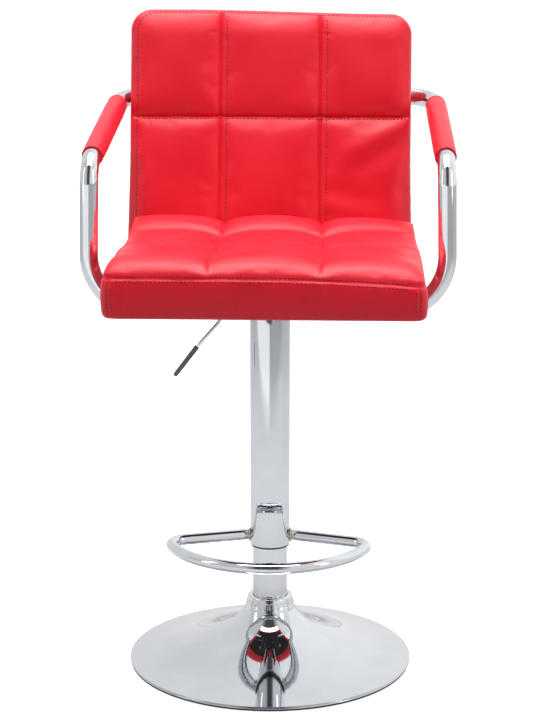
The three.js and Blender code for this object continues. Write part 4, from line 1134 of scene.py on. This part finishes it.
def build_rear_panel():
    """Cover panel that closes the back, lying in the cushion's recess."""
    half = high("rear_cover")[0] - 1.0
    foot, top = 44.0, high("rear_cover")[2] - UNDERSIDE - 1.0
    xs = stations([-half, -half + 8, half - 8, half], 2, 12)
    hs = stations([foot, foot + 8, top - 8, top], 2, 12)
    grid, faces = lattice(xs, hs, [0, 0.5, 1.0])
    gx, gh, w = grid.T
    x, h, _, _ = plan_round(gx, gh, half, foot, top, 12)
    near = np.minimum.reduce([half - abs(gx), gh - foot, top - gh])
    crown = 1.2 * quarter(near / 8) + 1.4 * smooth(near / 60)
    wave = 0.5 * ripple(np.stack([gx, gh, 0 * gx], 1), 60, 4)
    out = np.where(w > 0.9, 0.2 + crown + wave * smooth(near / 30), np.where(w > 0.4, -1.0, -2.6))
    y = back_front(0) + h * math.tan(BACK_LEAN) + BACK_DEPTH + out
    points = np.stack([x, y, h + UNDERSIDE], 1)
    skin = flipped(faces)
    panel = make(
        "rear_panel", points, skin, "seat_unit", RED_REAR, ["rear_cover"], 180
    )
    subdivide(panel, 1)


def build_dust_cover():
    """Spun-bonded sheet stapled under the seat."""
    x0, y0, z0 = low("underside_cover")
    x1, y1, _ = high("underside_cover")
    xs = stations([x0 + 1, x1 - 1], 4, 10)
    ys = stations([y0 + 1, y1 - 1], 4, 10)
    grid, faces = lattice(xs, ys, [0, 1])
    gx, gy, w = grid.T
    near = np.minimum.reduce([x1 - 1 - abs(gx), gy - y0 - 1, y1 - 1 - gy])
    sag = 0.5 * ripple(np.stack([gx, gy, 0 * gx], 1), 35, 5) * smooth(near / 20)
    z = z0 + 0.15 + 0.5 * w + 0.3 * sag
    points = np.stack([gx, gy, z], 1)
    cover = make("dust_cover", points, faces, "seat_unit", FELT, ["underside_cover"], 180)


# ---------- Finish on the carried-over nodes ----------


def dress_cad():
    """Gives each CAD node that stays the finish of its slot."""
    for name, node in nodes.items():
        if node.hide_render:
            continue
        for entry in node.material_slots:
            entry.material = finish_of(name)


def finish_of(name):
    """The finish of a carried-over node by what the node is."""
    steel = ("bearing", "screw", "pin", "clip", "rod", "plate_screw", "hub", "floor_plate")
    nylon = ("bush", "piston", "end_guide")
    paint = ("seat_plate", "control_housing", "column_head", "gas_cylinder")
    if name.startswith(paint):
        return BLACK_PAINT
    if name == "shell_board":
        return PLYWOOD
    if name == "base_ballast":
        return IRON
    if any(word in name for word in steel):
        return STEEL
    if any(word in name for word in nylon):
        return NYLON
    return STEEL


# ---------- Studio ----------


def panel_light(name, place, size, power):
    """A soft box at a place, aimed at the stool."""
    light = bpy.data.lights.new(name, "AREA")
    light.shape = "RECTANGLE"
    light.size, light.size_y = size
    light.energy = power
    lamp = bpy.data.objects.new(name, light)
    lamp.location = place
    lamp.rotation_euler = (Vector((0, 0, 0.5)) - Vector(place)).to_track_quat("-Z", "Y").to_euler()
    bpy.context.scene.collection.objects.link(lamp)


def build_floor():
    mesh = bpy.data.meshes.new("studio_floor")
    mesh.from_pydata([(-12, -12, 0), (12, -12, 0), (12, 12, 0), (-12, 12, 0)], [], [[0, 1, 2, 3]])
    material, tree, shader, place = new_material("pale_matt_floor")
    clouds = add(tree, "TexNoise", {"Vector": place, "Scale": 1.5, "Detail": 3.0})
    pale = colour_ramp(tree, clouds.outputs["Fac"], [(0.3, "#F4F4F4"), (0.7, "#F7F7F7")])
    # the sweep shows white to the camera and throws back as little light as a grey one; to glossy rays it
    # glows as a painted reflection, brighter far in front on the left and dimmer far in front on the right,
    # with a painted contact shadow round the base
    path = add(tree, "LightPath")
    seen, mirrored = path.outputs["Is Camera Ray"], path.outputs["Is Glossy Ray"]
    shade = add(tree, "Mix", {"Factor": seen, 6: linear("#A6A6A8"), 7: pale}, data_type="RGBA").outputs[2]
    parts = add(tree, "SeparateXYZ", {"Vector": place})
    right = spread(tree, parts.outputs["X"], 0.5, -0.12, -0.12, 0.12)
    ahead = spread(tree, parts.outputs["Y"], 1.0, 0.0, -2.4, -1.3)
    tilt = add(tree, "Math", {0: right, 1: ahead}, operation="MULTIPLY").outputs[0]
    painted_reflection_glow = add(tree, "Math", {0: tilt, 1: 0.34}, operation="ADD").outputs[0]
    # painted contact shadow: the glow that the chrome mirrors is nil within 0.2 m of the base's middle and
    # fades in by 0.36 m
    reach = add(tree, "VectorMath", {0: place}, operation="LENGTH").outputs["Value"]
    clear = spread(tree, reach, 0.0, 1.0, 0.2, 0.36)
    painted_reflection_glow = add(tree, "Math", {0: painted_reflection_glow, 1: clear}, operation="MULTIPLY").outputs[0]
    painted_reflection_glow = add(tree, "Math", {0: painted_reflection_glow, 1: mirrored}, operation="MULTIPLY").outputs[0]
    lift = add(tree, "Math", {0: seen, 1: 0.65}, operation="MULTIPLY").outputs[0]
    lift = add(tree, "Math", {0: lift, 1: painted_reflection_glow}, operation="ADD").outputs[0]
    plug(
        tree, shader, Base_Color=shade, Roughness=0.9, Specular_IOR_Level=0.0,
        Emission_Color=linear("#FFFFFF"), Emission_Strength=lift,
    )
    mesh.materials.append(material)
    floor = bpy.data.objects.new("studio_floor", mesh)
    bpy.context.scene.collection.objects.link(floor)


def build_world():
    """A bright wall behind, a dim room on the camera's side."""
    world = bpy.data.worlds.new("studio")
    bpy.context.scene.world = world
    world.use_nodes = True
    tree = world.node_tree
    tree.nodes.clear()
    direction = add(tree, "TexCoord").outputs["Generated"]
    parts = add(tree, "SeparateXYZ", {"Vector": direction})
    # the chrome mirrors white walls with a dark gap where the camera stands
    depth = spread(tree, parts.outputs["Y"], 0.1, 1.15, -0.4, 0.1)
    side = spread(tree, parts.outputs["X"], 0.86, 1.08, -0.8, 0.8)
    lit = add(tree, "Math", {0: depth, 1: side}, operation="MULTIPLY").outputs[0]
    off = add(tree, "Math", {0: parts.outputs["X"]}, operation="ABSOLUTE").outputs[0]
    walls = spread(tree, off, 0.06, 0.95, 0.18, 0.42)
    walls = add(tree, "Math", {0: walls, 1: depth}, operation="MAXIMUM").outputs[0]
    slope = spread(tree, parts.outputs["X"], 0.74, 1.0, -0.3, 0.5)
    walls = add(tree, "Math", {0: walls, 1: slope}, operation="MULTIPLY").outputs[0]
    path = add(tree, "LightPath")
    seen, mirrored = path.outputs["Is Camera Ray"], path.outputs["Is Glossy Ray"]
    lit = add(tree, "Mix", {"Factor": mirrored, 2: lit, 3: walls}, data_type="FLOAT").outputs[0]
    lit = add(tree, "Mix", {"Factor": seen, 2: lit, 3: 1.1}, data_type="FLOAT").outputs[0]
    glow = add(tree, "Background", {"Color": linear("#FFFFFF"), "Strength": lit})
    add(tree, "OutputWorld", {"Surface": glow.outputs["Background"]})


def build_lights():
    panel_light("top_box", (0.0, -0.25, 3.0), (2.2, 2.2), 88)
    panel_light("right_box", (2.4, -1.3, 1.4), (0.5, 2.0), 6)
    panel_light("left_box", (-2.4, -1.0, 1.4), (0.5, 2.0), 4)


def build_camera():
    camera = bpy.data.cameras.new("view")
    camera.lens = 82.97
    camera.sensor_width = 36
    seen = bpy.data.objects.new("view", camera)
    seen.location = (0.1091, -2.3144, 0.915)
    seen.rotation_euler = (math.radians(78.56), 0, math.radians(2.7))
    bpy.context.scene.collection.objects.link(seen)
    bpy.context.scene.camera = seen


build_camera()
bpy.context.scene.view_settings.view_transform = "Standard"
build_floor()
build_world()
build_lights()
build_base()
build_collar()
build_columns()
build_footrest()
build_lever()
arm_path = build_arm(1, "right")
build_arm(-1, "left")
seat = build_seat(arm_path)
back = build_back(arm_path)
build_stitching(seat, back)
build_rear_panel()
build_dust_cover()
dress_cad()
